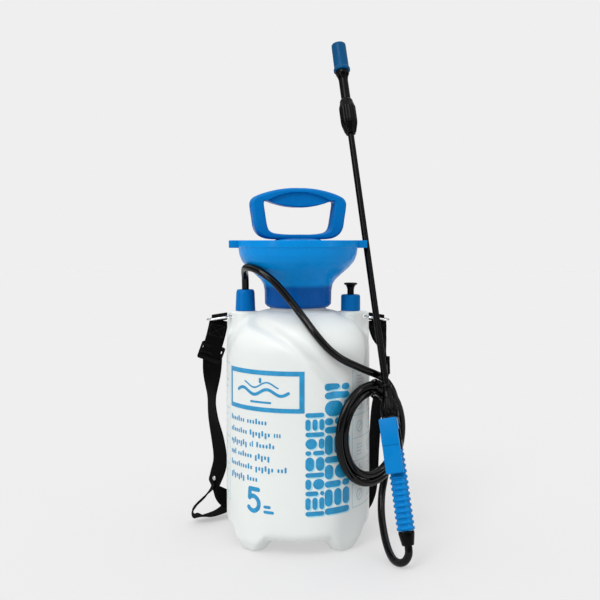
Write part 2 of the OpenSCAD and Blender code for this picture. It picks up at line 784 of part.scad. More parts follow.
tank_base();
tank_wall();
tank_shoulder();
funnel();
neck_gasket();
outlet_cap();
outlet_fitting();
outlet_seal();
dip_tube();
dip_filter();
relief_cap();
relief_pin();
relief_seal();
relief_spring();
pump_barrel();
pump_cap();
pump_gasket();
check_valve();
piston();
piston_seal();
pump_rod();
handle();
handle_pin();
lance_tube();
lance_seal();
union_nut();
nozzle_stem();
nozzle_seal();
nozzle_cap();
lance_nut();
valve_body();
valve_plug();
valve_stem();
valve_seal();
valve_spring();
trigger();
trigger_pin();
trigger_lock();
grip();
grip_filter();
grip_cap();
hose_run();
hose_lead();
hose_coil();
hose_tail();
hose_tie();
ring_left();
ring_right();
strap_end_left();
strap_end_right();
strap();
strap_loop();
slider_left();
slider_right();
strap_rivet();
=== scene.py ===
import math

import bmesh
import bpy
import numpy as np
from mathutils import Matrix, Vector
from mathutils.bvhtree import BVHTree


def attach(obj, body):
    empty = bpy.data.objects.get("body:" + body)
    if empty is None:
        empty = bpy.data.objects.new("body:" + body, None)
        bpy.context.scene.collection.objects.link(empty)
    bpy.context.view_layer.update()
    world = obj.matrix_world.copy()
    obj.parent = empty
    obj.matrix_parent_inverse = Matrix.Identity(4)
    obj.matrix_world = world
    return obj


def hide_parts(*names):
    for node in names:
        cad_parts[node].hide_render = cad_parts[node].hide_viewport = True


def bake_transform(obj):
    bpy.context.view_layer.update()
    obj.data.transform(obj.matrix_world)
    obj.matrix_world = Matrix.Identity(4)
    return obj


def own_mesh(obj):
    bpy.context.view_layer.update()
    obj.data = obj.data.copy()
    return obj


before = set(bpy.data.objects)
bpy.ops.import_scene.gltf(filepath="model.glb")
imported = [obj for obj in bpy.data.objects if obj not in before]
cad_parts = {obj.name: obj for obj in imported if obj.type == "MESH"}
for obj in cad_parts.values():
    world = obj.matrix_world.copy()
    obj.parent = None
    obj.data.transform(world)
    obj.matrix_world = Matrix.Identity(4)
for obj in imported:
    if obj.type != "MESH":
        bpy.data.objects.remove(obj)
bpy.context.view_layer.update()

# Lengths below are millimetres in the part's own frame. Meshes are made in them, and scaled here.
MM = 0.001
TANK_R = 89.5
SHOULDER_Z, NECK_Z, NECK_R, LIP_Z = 236, 283, 34.5, 308
EAR_X, EAR_R, EAR_TOP = 66, 15, 282
RIM_Z, RIM_R, LUG_R = 370, 75.5, 86.5
SEAT_Z = 313.5
HANDLE_DEPTH, HANDLE_TURN = 22, 13
TRIGGER_TURN = 18
EYE = np.array([84, 0, 275])

# ---- camera ----
camera_data = bpy.data.cameras.new("camera")
camera_data.sensor_width = 36
camera_data.lens = 51
camera_data.shift_y = -0.06
camera = bpy.data.objects.new("camera", camera_data)
camera.location = (0.0025, -1.0655, 0.370)
camera.rotation_euler = (math.radians(90 - 1.6), 0, 0)
bpy.context.scene.collection.objects.link(camera)
bpy.context.scene.camera = camera
bpy.context.scene.view_settings.view_transform = "Standard"


# ---- materials ----
class Shader:
    """A Principled material, with short ways to add nodes in front of it."""

    def __init__(self, name, color, roughness, **inputs):
        self.material = bpy.data.materials.new(name)
        self.material.use_nodes = True
        self.tree = self.material.node_tree
        self.bsdf = self.tree.nodes["Principled BSDF"]
        self.set("Base Color", (*color, 1))
        self.set("Roughness", roughness)
        for key, value in inputs.items():
            self.set(key.replace("_", " "), value)
        self.material.diffuse_color = (*color, 1)

    def set(self, socket, value):
        self.bsdf.inputs[socket].default_value = value

    def node(self, kind, values=(), **settings):
        made = self.tree.nodes.new(kind)
        for key, value in settings.items():
            setattr(made, key, value)
        for key, value in dict(values).items():
            made.inputs[key].default_value = value
        return made

    def link(self, source, target):
        self.tree.links.new(source, target)

    def object_point(self):
        return self.node("ShaderNodeTexCoord").outputs["Object"]

    def noise(self, scale, detail=3, stretch=None):
        found = self.node("ShaderNodeTexNoise", {"Scale": scale, "Detail": detail})
        point = self.object_point()
        if stretch:
            mapping = self.node("ShaderNodeMapping", {"Scale": stretch})
            self.link(point, mapping.inputs["Vector"])
            point = mapping.outputs["Vector"]
        self.link(point, found.inputs["Vector"])
        return found.outputs["Fac"]

    def ramp(self, fac, low, high, start=0.35, end=0.65):
        made = self.node("ShaderNodeValToRGB")
        for stop, (place, color) in zip(made.color_ramp.elements, ((start, low), (end, high))):
            stop.position = place
            stop.color = color if hasattr(color, "__len__") else (color, color, color, 1)
        self.link(fac, made.inputs["Fac"])
        return made.outputs["Color"]

    def tint(self, fac, color, spread):
        low = (*[c * (1 - spread) for c in color], 1)
        high = (*[min(1, c * (1 + spread)) for c in color], 1)
        self.link(self.ramp(fac, low, high), self.bsdf.inputs["Base Color"])

    def shine(self, fac, low, high):
        self.link(self.ramp(fac, low, high), self.bsdf.inputs["Roughness"])

    def bump(self, height, distance, strength=1.0):
        made = self.node("ShaderNodeBump", {"Distance": distance, "Strength": strength})
        self.link(height, made.inputs["Height"])
        last = self.bsdf.inputs["Normal"]
        if last.is_linked:
            self.link(last.links[0].from_socket, made.inputs["Normal"])
        self.link(made.outputs["Normal"], last)

    def moulded_skin(self, roughness):
        """Uneven gloss, a fine spark-eroded grain and shallow waves."""
        self.shine(self.noise(60, 4), max(0.02, roughness - 0.06), roughness + 0.08)
        self.bump(self.noise(1400, 2), 0.00003, 0.5)
        self.bump(self.noise(45, 2), 0.0002, 0.25)


# Noise stretched upwards, as the flow marks in a moulding are.
FLOW = (1, 1, 0.35)


def moulded(name, color, roughness, spread=0.06, **inputs):
    """Injection-moulded plastic with faint flow marks."""
    s = Shader(name, color, roughness, **inputs)
    s.tint(s.noise(22, 3, FLOW), color, spread)
    s.moulded_skin(roughness)
    return s.material


def painted_shade_below(name, low, high, start, end):
    """Moulded plastic with painted shade below one height: there it is coloured a darker azure, where the wall
    is backed.
    """
    roughness = 0.3
    s = Shader(name, high, roughness, Specular_IOR_Level=0.09)
    split = s.node("ShaderNodeSeparateXYZ")
    s.link(s.object_point(), split.inputs[0])
    reach = s.node("ShaderNodeMapRange", {"From Min": start, "From Max": end})
    s.link(split.outputs["Z"], reach.inputs["Value"])
    made = s.node("ShaderNodeMix", data_type="RGBA")
    s.link(reach.outputs[0], made.inputs[0])
    for socket, color in ((6, low), (7, high)):
        dim, lit = ((*[c * k for c in color], 1) for k in (0.94, 1.06))
        s.link(s.ramp(s.noise(22, 3, FLOW), dim, lit), made.inputs[socket])
    s.link(made.outputs[2], s.bsdf.inputs["Base Color"])
    s.moulded_skin(roughness)
    return s.material


def milky_plastic():
    color = (0.735, 0.765, 0.748)
    s = Shader("milky_plastic", color, 0.36, Specular_IOR_Level=0.3)
    s.set("Subsurface Weight", 0.2)
    s.set("Subsurface Radius", (0.004, 0.0045, 0.005))
    s.tint(s.noise(7, 4, (1, 1, 0.5)), color, 0.03)
    s.shine(s.noise(26, 5), 0.3, 0.44)
    s.bump(s.noise(18, 3, (1, 1, 0.3)), 0.0012, 0.22)
    s.bump(s.noise(900, 2), 0.00004, 0.5)
    return s.material


def rubber(name, color, roughness, gloss=0.25):
    s = Shader(name, color, roughness, Specular_IOR_Level=gloss)
    s.tint(s.noise(30, 4), color, 0.25)
    s.shine(s.noise(70, 4), max(0.05, roughness - 0.05), roughness + 0.1)
    s.bump(s.noise(120, 3), 0.00015, 0.35)
    return s.material


def webbing():
    """Herringbone nylon webbing. The UV map runs along and across the strap in millimetres."""
    color = (0.007, 0.007, 0.0075)
    s = Shader("webbing", color, 0.7, Specular_IOR_Level=0.05)
    uv = s.node("ShaderNodeUVMap").outputs["UV"]
    split = s.node("ShaderNodeSeparateXYZ")
    s.link(uv, split.inputs["Vector"])

    def math_node(kind, a, b):
        made = s.node("ShaderNodeMath", operation=kind)
        for i, value in enumerate((a, b)):
            if isinstance(value, (int, float)):
                made.inputs[i].default_value = value
            else:
                s.link(value, made.inputs[i])
        return made.outputs[0]

    along, across = split.outputs["X"], split.outputs["Y"]
    chevron = math_node("PINGPONG", across, 3.1)
    twill = math_node("SINE", math_node("MULTIPLY", math_node("ADD", along, chevron), 4.2), 0)
    warp = math_node("SINE", math_node("MULTIPLY", across, 7.5), 0)
    height = math_node("ADD", math_node("MULTIPLY", twill, 0.7), math_node("MULTIPLY", warp, 0.4))
    shade = math_node("ADD", math_node("MULTIPLY", height, 0.28), 0.5)
    mixed = math_node("ADD", math_node("MULTIPLY", shade, 0.7), math_node("MULTIPLY", s.noise(90, 5), 0.3))
    s.link(s.ramp(mixed, (0.0004, 0.0004, 0.0005, 1), (0.0042, 0.0042, 0.0045, 1), 0.25, 0.8),
           s.bsdf.inputs["Base Color"])
    s.bump(height, 0.0003, 0.9)
    return s.material


def metal(name, color, roughness, streaks):
    s = Shader(name, color, roughness, Metallic=1.0)
    s.tint(s.noise(40, 4), color, 0.06)
    s.shine(s.noise(streaks, 4), max(0.03, roughness - 0.05), roughness + 0.12)
    s.bump(s.noise(streaks * 2, 2), 0.00003, 0.4)
    return s.material


def ink(name, color, wear=0.12):
    """Screen-printed ink on the blown tank: slightly patchy, with a finer gloss than the tank."""
    s = Shader(name, color, 0.42)
    s.tint(s.noise(160, 5), color, wear)
    s.bump(s.noise(700, 2), 0.00003, 0.5)
    return s.material


def floor_surface():
    color = (0.36, 0.36, 0.36)
    s = Shader("studio_floor", color, 0.9, Specular_IOR_Level=0.0)
    s.set("Emission Color", (1, 1, 1, 1))
    s.set("Emission Strength", 0.42)
    s.tint(s.noise(6, 3), color, 0.004)
    return s.material


AZURE = moulded("azure_plastic", (0.0004, 0.180, 0.50), 0.3, Specular_IOR_Level=0.09)
HANDLE_AZURE = moulded("handle_azure_plastic", (0.0003, 0.150, 0.460), 0.3, Specular_IOR_Level=0.07)
# A darker copy of the azure plastic for the outlet and relief caps: painted shade on their upright walls.
SHADED_AZURE = moulded("shaded_azure_plastic", (0.0003, 0.140, 0.440), 0.32, Specular_IOR_Level=0.07)
CAP_AZURE = moulded("cap_azure_plastic", (0.0003, 0.066, 0.180), 0.32, Specular_IOR_Level=0.08)
# The funnel's collar, below the seat, is coloured a darker azure: painted shade on its upright wall.
FUNNEL_AZURE = painted_shade_below("funnel_azure_plastic", (0.0003, 0.080, 0.330), (0.0004, 0.232, 0.640), 0.3115, 0.3165)
BLACK = moulded("black_plastic", (0.0009, 0.0009, 0.0010), 0.22, spread=0.2, Specular_IOR_Level=0.10)
NATURAL = moulded("natural_plastic", (0.78, 0.80, 0.76), 0.4)
MILKY = milky_plastic()
HOSE_RUBBER = rubber("hose_rubber", (0.0007, 0.0007, 0.0008), 0.10, gloss=0.22)
SEAL_RUBBER = rubber("seal_rubber", (0.012, 0.012, 0.012), 0.6)
WEBBING = webbing()
THREAD = rubber("stitching", (0.010, 0.010, 0.0105), 0.7)
CHROME = metal("chrome", (0.80, 0.81, 0.82), 0.1, 300)
STEEL = metal("drawn_steel", (0.56, 0.56, 0.57), 0.28, 500)
INK = ink("print_ink", (0.008, 0.255, 0.50))
PALE_INK = ink("pale_print_ink", (0.36, 0.68, 0.80), 0.05)
FAINT_INK = ink("faint_print_ink", (0.42, 0.58, 0.63), 0.06)


# ---- curves, profiles and grids ----
def unit(v):
    return v / np.linalg.norm(v)


def smooth(t):
    """Rises from 0 to 1 as t does, with level ends."""
    t = np.clip(t, 0, 1)
    return t * t * (3 - 2 * t)


def polar(radius, angle):
    return np.stack([radius * np.cos(angle), radius * np.sin(angle)], 1)


def round_steps(count):
    return np.arange(count) * 2 * math.pi / count


def curve(points, steps, closed=False):
    """Points of a Catmull-Rom curve through the given ones."""
    p = np.array(points, float)
    n = len(p)
    pick = (lambda i: p[i % n]) if closed else (lambda i: p[min(max(i, 0), n - 1)])
    found = []
    for i in range(n if closed else n - 1):
        a, b, c, d = pick(i - 1), pick(i), pick(i + 1), pick(i + 2)
        for t in np.arange(steps) / steps:
            found.append(0.5 * (2 * b + (c - a) * t + (2 * a - 5 * b + 4 * c - d) * t ** 2
                                + (3 * b - a - 3 * c + d) * t ** 3))
    if not closed:
        found.append(p[-1])
    return np.array(found)


def lengths(path):
    return np.r_[0, np.cumsum(np.linalg.norm(np.diff(path, axis=0), axis=1))]


def respaced(path, step):
    at = lengths(path)
    want = np.linspace(0, at[-1], max(2, int(round(at[-1] / step)) + 1))
    return np.stack([np.interp(want, at, path[:, k]) for k in range(path.shape[1])], 1)


def tangents(path, closed=False):
    if closed:
        t = np.roll(path, -1, 0) - np.roll(path, 1, 0)
    else:
        t = np.gradient(path, axis=0)
    return t / np.linalg.norm(t, axis=1)[:, None]


def carried(path, first):
    """One direction square to the path at each point, carried along it without twisting."""
    t = tangents(path)
    n = np.array(first, float)
    found = []
    for direction in t:
        n = unit(n - (n @ direction) * direction)
        found.append(n)
    return np.array(found), t


def rounded(points, closed=False, steps=5):
    """A 2-D outline whose corners (x, y, r) are rounded with arcs of radius r."""
    p = [np.array(q[:2], float) for q in points]
    r = [q[2] if len(q) > 2 else 0 for q in points]
    found = []
    for i, corner in enumerate(p):
        if r[i] == 0 or (not closed and i in (0, len(p) - 1)):
            found.append(corner)
            continue
        to_last, to_next = p[i - 1] - corner, p[(i + 1) % len(p)] - corner
        reach_last, reach_next = np.linalg.norm(to_last), np.linalg.norm(to_next)
        to_last, to_next = to_last / reach_last, to_next / reach_next
        half = math.acos(max(-1, min(1, to_last @ to_next))) / 2
        cut = min(r[i] / math.tan(half), reach_last * 0.49, reach_next * 0.49)
        radius = cut * math.tan(half)
        middle = corner + unit(to_last + to_next) * radius / math.sin(half)
        start, end = corner + to_last * cut - middle, corner + to_next * cut - middle
        sweep = math.pi - 2 * half
        for k in range(steps + 1):
            t = k / steps
            w = np.sin([(1 - t) * sweep, t * sweep]) / math.sin(sweep) if sweep > 1e-4 else [1 - t, t]
            found.append(middle + start * w[0] + end * w[1])
    return np.array(found)


class Mesh:
    """Vertices, faces and UVs of one piece, gathered from several shapes."""

    def __init__(self):
        self.points, self.faces, self.uvs = [], [], []

    def add(self, points, faces, uvs=None):
        base = len(self.points)
        self.points += [tuple(p) for p in np.asarray(points, float)]
        self.faces += [[base + i for i in f] for f in faces]
        self.uvs += [tuple(u) for u in uvs] if uvs is not None else [(0, 0)] * (len(self.points) - base)
        return self

    def join(self, other):
        return self.add(other.points, other.faces)

    def grid(self, rings, closed_path=False, uvs=None):
        """Quads over rows of closed rings, capped at both ends unless the path closes too."""
        n, m = rings.shape[:2]
        faces = []
        for i in range(n if closed_path else n - 1):
            here, there = i * m, ((i + 1) % n) * m
            for j in range(m):
                k = (j + 1) % m
                faces.append([here + j, there + j, there + k, here + k])
        if not closed_path:
            faces += [list(range(m)), list(range(n * m - 1, (n - 1) * m - 1, -1))]
        return self.add(rings.reshape(-1, 3), faces, None if uvs is None else uvs.reshape(-1, 2))

    def moved(self, matrix):
        self.points = [tuple(matrix @ Vector(p)) for p in self.points]
        return self

    def on_side(self, side):
        """Mirrored to the left for side -1."""
        return self.moved(Matrix.Scale(-1, 4, (1, 0, 0))) if side < 0 else self

    def build(self, name, material, bevel=0.0, weld=0.001, angle=40):
        data = bpy.data.meshes.new(name)
        data.from_pydata([tuple(c * MM for c in p) for p in self.points], [], self.faces)
        layer = data.uv_layers.new(name="UVMap")
        uvs = np.array(self.uvs, float)
        index = np.zeros(len(data.loops), np.int32)
        data.loops.foreach_get("vertex_index", index)
        layer.data.foreach_set("uv", uvs[index].astype(np.float32).ravel())
        piece = bpy.data.objects.new(name, data)
        bpy.context.scene.collection.objects.link(piece)
        return finished(piece, material, bevel, weld, angle)


def finished(piece, material, bevel, weld, angle):
    """Welds, turns faces outwards, bevels hard edges and shades the rest smooth."""
    work = bmesh.new()
    work.from_mesh(piece.data)
    bmesh.ops.remove_doubles(work, verts=work.verts, dist=weld * MM)
    bmesh.ops.dissolve_degenerate(work, edges=work.edges, dist=0.0001 * MM)
    bmesh.ops.recalc_face_normals(work, faces=work.faces)
    for face in work.faces:
        face.smooth = True
    sharpened(work, piece, angle)
    recolored(piece, material)
    if bevel:
        made = piece.modifiers.new("edges", "BEVEL")
        made.width = bevel * MM
        made.segments = 3
        made.limit_method = "ANGLE"
        made.angle_limit = math.radians(angle)
        apply_modifiers(piece)
        work = bmesh.new()
        work.from_mesh(piece.data)
        sharpened(work, piece, angle + 10)
    return piece


def sharpened(work, piece, degrees):
    """Marks the edges that bend by more than this as hard, and gives the mesh back to its piece."""
    for edge in work.edges:
        edge.smooth = edge.calc_face_angle(0) < math.radians(degrees)
    work.to_mesh(piece.data)
    work.free()


def recolored(piece, material):
    piece.data.materials.clear()
    piece.data.materials.append(material)


def apply_modifiers(piece):
    bpy.context.view_layer.update()
    done = bpy.data.meshes.new_from_object(piece.evaluated_get(bpy.context.evaluated_depsgraph_get()))
    old = piece.data
    piece.modifiers.clear()
    piece.data = done
    bpy.data.meshes.remove(old)


def lathe(mesh, profile, steps=96, closed=True, wave=None):
    """Turns a profile of (r, z) about Z. wave(angle, r, z) changes the radius."""
    angle = round_steps(steps)
    rings = []
    for r, z in profile:
        radius = np.full(steps, float(r)) if wave is None else wave(angle, r, z)
        rings.append(np.c_[polar(radius, angle), np.full(steps, z)])
    return mesh.grid(np.array(rings), closed)


def ribs(count, depth, start, end, beyond, power, phase=-1):
    """A wave of ribs round a turned piece. They fade in over start's run above its height and
    out over end's run below its height, and only the wall beyond one radius has them."""
    (low, low_run), (high, high_run) = start, end

    def wave(angle, r, z):
        on = smooth((z - low) / low_run) * smooth((high - z) / high_run) * (r > beyond)
        return r - depth * on * (0.5 + phase * 0.5 * np.cos(angle * count)) ** power

    return wave


def turned(name, profile, material, matrix=None, steps=96, closed=True, wave=None, corner=4):
    """A turned piece from a profile whose corners are (r, z, fillet)."""
    mesh = lathe(Mesh(), rounded(profile, closed, corner), steps, closed, wave)
    if matrix is not None:
        mesh.moved(matrix)
    return mesh.build(name, material, angle=50)


def tube(mesh, path, radius, sides=16, first=(1, 0, 0)):
    normals, t = carried(path, first)
    across = np.cross(t, normals)
    section = polar(radius, round_steps(sides))
    rings = path[:, None] + section[None, :, :1] * normals[:, None] + section[None, :, 1:] * across[:, None]
    return mesh.grid(rings)


def loop_tube(mesh, path, section, middle):
    """Sweeps a section of (outward, sideways) points along a closed path round the middle."""
    t = tangents(path, True)
    out = path - np.array(middle)
    out = out - (out * t).sum(1)[:, None] * t
    out /= np.linalg.norm(out, axis=1)[:, None]
    side = np.cross(t, out)
    section = np.array(section)
    rings = path[:, None] + section[None, :, :1] * out[:, None] + section[None, :, 1:] * side[:, None]
    return mesh.grid(rings, closed_path=True)


def circle(radius, count):
    return polar(radius, round_steps(count))


def panel(x0, x1, y0, y1, low_r, high_r, steps=4):
    """A rectangle with one corner radius at its foot and another at its head."""
    return rounded([(x0, y0, low_r), (x1, y0, low_r), (x1, y1, high_r), (x0, y1, high_r)], True, steps)


def rounded_box(width, height, r, steps=4):
    w, h = width / 2, height / 2
    return rounded([(w, h, r), (-w, h, r), (-w, -h, r), (w, -h, r)], True, steps)


def prism(mesh, outline, low, high, matrix=None):
    """A straight prism over an outline in XY, from z = low to high."""
    n = len(outline)
    points = [(*p, low) for p in outline] + [(*p, high) for p in outline]
    faces = [[i, (i + 1) % n, n + (i + 1) % n, n + i] for i in range(n)]
    faces += [list(range(n))[::-1], list(range(n, 2 * n))]
    if matrix is not None:
        points = [tuple(matrix @ Vector(p)) for p in points]
    return mesh.add(points, faces)


def turn(degrees, axis):
    return Matrix.Rotation(math.radians(degrees), 4, axis)


def shift(x, y, z):
    return Matrix.Translation((x, y, z))


LANCE_AT = np.array([86, 0, 361.0])
LANCE = shift(*LANCE_AT) @ turn(-6.5, "Y") @ turn(-19.6, "X")
TRIGGER_SIDE = LANCE @ turn(-TRIGGER_TURN, "Z")
LANCE_END = np.array(LANCE @ Vector((0, 0, -357)))
LANCE_DIR = np.array(LANCE.to_3x3() @ Vector((0, 0, 1)))


def put(piece, body, slot, *nodes):
    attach(piece, body)
    if nodes:
        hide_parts(*nodes)
    return piece


# ---- hose ----
# The route of the hose, in the order that it is laid: outlet to coil, and coil to grip.
HOSE_D = 9
RUN = [
    (-66, 0, 308.5), (-66, -1, 316), (-66, -5.5, 324.5), (-66, -14, 331), (-64.5, -24, 335.5),
    (-60.5, -34.5, 337), (-53.5, -44, 336), (-43, -52, 331.5), (-28, -58.5, 320.5), (-10, -62.5, 300),
    (6, -71, 279.8), (20, -82.3, 262), (34, -86.3, 246), (47, -85, 235), (57.6, -80.2, 228.3),
]
LEAD = [
    (68.5, -71, 222.3), (80, -61, 216), (92, -50.2, 210), (99, -44.4, 206),
    (105.7, -39.3, 200.6), (111.4, -35.2, 193.5), (115.8, -32.2, 185.3),
]
TAIL = [
    (114, -22, 108), (110.8, -24.3, 96), (108, -27, 85), (105.5, -30, 74),
    (102.8, -34, 62), (101.3, -41, 49), (100.8, -51, 37.5), (101.5, -63, 27.5), (102.8, -76, 18.5),
    (105, -88, 11), (107.5, -97.5, 6.6), (110.7, -106, 4.6), (115.3, -113.5, 5), (120.1, -118.8, 8.5),
    (123.5, -121.3, 14.8), (124.6, -121.3, 21.5),
]
COIL_AT = np.array([88, -55.5, 139.0])
COIL_HALF = (48, 54)
COIL_TURN = math.radians(40)
COIL_PLAN = np.array([math.cos(COIL_TURN), math.sin(COIL_TURN), 0])
COIL_OUT = np.array([math.sin(COIL_TURN), -math.cos(COIL_TURN), 0])
LANE = 4.6


def coil_points():
    """Just over two turns: the outer lane, the inner lane, then a last part behind them both."""
    start, end, step = 40, -740, 7.5
    found = []
    for a in np.arange(start, end - 1, -step):
        to_inner = smooth((-275 - a) / 47)
        to_rear = smooth((-618 - a) / 48)
        lane = LANE - 2 * LANE * to_inner + LANE * smooth((-650 - a) / 60)
        r = math.radians(a)
        found.append(COIL_AT + (COIL_HALF[0] + lane) * math.cos(r) * COIL_PLAN
                     + np.array([0, 0, (COIL_HALF[1] + lane) * math.sin(r)])
                     - 2 * (LANE + 0.05) * to_rear * COIL_OUT)
    return found


TIE = [
    (-5.5, 0, 0), (-4, 3.9, 0.4), (0.5, 5.8, 1.5), (6, 6, 5), (10, 4.5, 9.2), (15, 2.2, 11.2),
    (21.5, 0.8, 10), (26.3, 0.2, 5),
]
TIE_BACK, TIE_TURN = 28.2, 134


def hose_tie():
    back = [(w, -b, -a) for w, b, a in TIE[:0:-1]]
    path = curve(TIE + [(TIE_BACK, 0, 0)] + back, 4, True)
    section = rounded_box(1.6, 3.6, 0.7, 3)
    mesh = loop_tube(Mesh(), path, section, (TIE_BACK / 2, 0, 0))
    mesh.moved(LANCE @ shift(0, 0, -176) @ turn(TIE_TURN, "Z"))
    return put(mesh.build("hose_tie_band", BLACK), "lance", "hose_rubber", "hose_tie")


def hose():
    path = respaced(curve([*RUN, *LEAD, *coil_points(), *TAIL, LANCE_END + 8 * LANCE_DIR], 6), 2.5)
    mesh = tube(Mesh(), path, HOSE_D / 2, 18)
    piece = mesh.build("hose", HOSE_RUBBER)
    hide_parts("hose_run", "hose_lead", "hose_coil", "hose_tail")
    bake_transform(piece)
    return piece


tie = hose_tie()
hose()


# ---- tank ----
# The feet's circle, where their flare ends, and where the ear posts and their webs start.
FOOT_AT = 74
FLARE_Z = 30
POST_Z, WEB_Z, WEB_HALF = 225, 240, 2.5
# How finely the tank's shapes are fused, and then smoothed.
VOXEL, SOFTENING = 1.7, 7


def tank_profile():
    """Outer half section of the tank, from the base's middle to the lip."""
    a = np.radians(np.arange(90, -1, -7.5))
    heel = np.stack([77 + 12.5 * np.cos(a), 29 - 13 * np.sin(a)], 1)
    a = np.radians(np.arange(0, 86, 5))
    core = NECK_R + 3.5
    shoulder = np.stack([core + (TANK_R - core) * np.cos(a) ** 1.3,
                         SHOULDER_Z + (NECK_Z - SHOULDER_Z) * np.sin(a)], 1)
    return [(0, 22), (40, 19), (66, 16), *heel, *shoulder, (NECK_R + 2, NECK_Z), (NECK_R, NECK_Z + 1),
            (NECK_R, LIP_Z), (0, LIP_Z)]


def foot(mesh, angle):
    """A round foot that flares up into the tank's side."""
    a = round_steps(48)
    middle = np.array([math.cos(angle), math.sin(angle)]) * FOOT_AT
    rings = []
    for z, r in ((0, 10.5), (0.9, 13), (3, 15.6), (13, 24), (22, 30.4), (FLARE_Z, 36)):
        ring = middle + polar(r, a)
        reach = np.linalg.norm(ring, axis=1)
        limit = TANK_R - 0.05 - 5.5 * max(0, (14 - z) / 14) ** 2
        ring *= np.minimum(1, limit / reach)[:, None]
        rings.append(np.c_[ring, np.full(len(a), z)])
    mesh.grid(np.array(rings))


# Grooves pressed into the shoulder: (x, z) seen from the front, and how deep.
SWOOSH = [(-63, 274), (-48, 270), (-28, 263), (-8, 251), (9, 236), (26, 219), (42, 200), (50, 184)]
ARCH_IN = [(-62, 276), (-72, 264), (-80, 252), (-86, 240), (-89, 230)]


def groove(points, front, line, width, depth, taper):
    """How far each point of the tank moves inwards at a groove drawn on its front."""
    path = curve([(x, z) for x, z in line], 12)
    flat = points[:, [0, 2]]
    near = np.full(len(points), 1e9)
    where = np.zeros(len(points))
    for i, p in enumerate(path):
        d = ((flat - p) ** 2).sum(1)
        where = np.where(d < near, i / (len(path) - 1), where)
        near = np.minimum(near, d)
    ends = smooth(where / taper) * smooth((1 - where) / taper)
    return depth * np.exp(-near / (2 * width ** 2)) * ends * front


def tank():
    mesh = lathe(Mesh(), tank_profile(), 160, closed=False)
    for k in range(4):
        foot(mesh, math.radians(45 + 90 * k))
    for side in (-1, 1):
        tip = EAR_TOP + (6 if side > 0 else 14)
        post = rounded([(0, POST_Z), (EAR_R, POST_Z), (EAR_R, EAR_TOP, 3), (8.5, EAR_TOP, 1.5),
                        (8.5, tip), (0, tip)])
        part = lathe(Mesh(), post, 48, closed=False)
        mesh.add(np.array(part.points) + [side * EAR_X, 0, 0], part.faces)
        edge = EYE[0] + 5
        web = rounded([(EAR_X, WEB_Z), (edge, WEB_Z), (edge, EAR_TOP, 3), (EAR_X, EAR_TOP)], True)
        upright = Matrix(((side, 0, 0, 0), (0, 0, -1, 0), (0, 1, 0, 0), (0, 0, 0, 1)))
        prism(mesh, web, -WEB_HALF, WEB_HALF, upright)
    piece = mesh.build("tank_shell", MILKY, weld=0.0)
    modifier = piece.modifiers.new("fuse", "REMESH")
    modifier.mode = "VOXEL"
    modifier.voxel_size = VOXEL * MM
    apply_modifiers(piece)
    soften = piece.modifiers.new("soften", "SMOOTH")
    soften.factor = 0.5
    soften.iterations = SOFTENING
    apply_modifiers(piece)
    data = piece.data
    points = np.zeros(len(data.vertices) * 3)
    data.vertices.foreach_get("co", points)
    points = points.reshape(-1, 3) / MM
    front = smooth((-points[:, 1] - 5) / 20)
    move = groove(points, front, SWOOSH, 4.6, 6.2, 0.12)
    move += groove(points, front, ARCH_IN, 2.6, 1.6, 0.15)
    reach = np.hypot(points[:, 0], points[:, 1])
    rise = 0.6 * smooth((points[:, 2] - POST_Z) / 40)
    outward = np.c_[points[:, :2] / np.maximum(reach, 1)[:, None], rise]
    outward /= np.linalg.norm(outward, axis=1)[:, None]
    points -= outward * move[:, None]
    data.vertices.foreach_set("co", (points * MM).ravel())
    # The inside, its mouth in the neck, and the strap eyes are cut out.
    inside = [(0, 60), (70, 60), (82, 80), (82, 225), (60, 262), (31.5, 279), (31.5, 320), (0, 320)]
    cutter = lathe(Mesh(), inside, 64, closed=False)
    for side in (-1, 1):
        hole = lathe(Mesh(), [(0, -10), (3, -10), (3, 10), (0, 10)], 32, closed=False)
        cutter.join(hole.moved(shift(side * EYE[0], 0, EYE[2]) @ turn(90, "X")))
    tool = cutter.build("cutter", MILKY)
    cut = piece.modifiers.new("cut", "BOOLEAN")
    cut.object = tool
    cut.solver = "FAST"
    apply_modifiers(piece)
    bpy.data.objects.remove(tool)
    for face in piece.data.polygons:
        face.use_smooth = True
    recolored(piece, MILKY)
    return put(piece, "tank", "white_plastic", "tank_base", "tank_wall", "tank_shoulder")


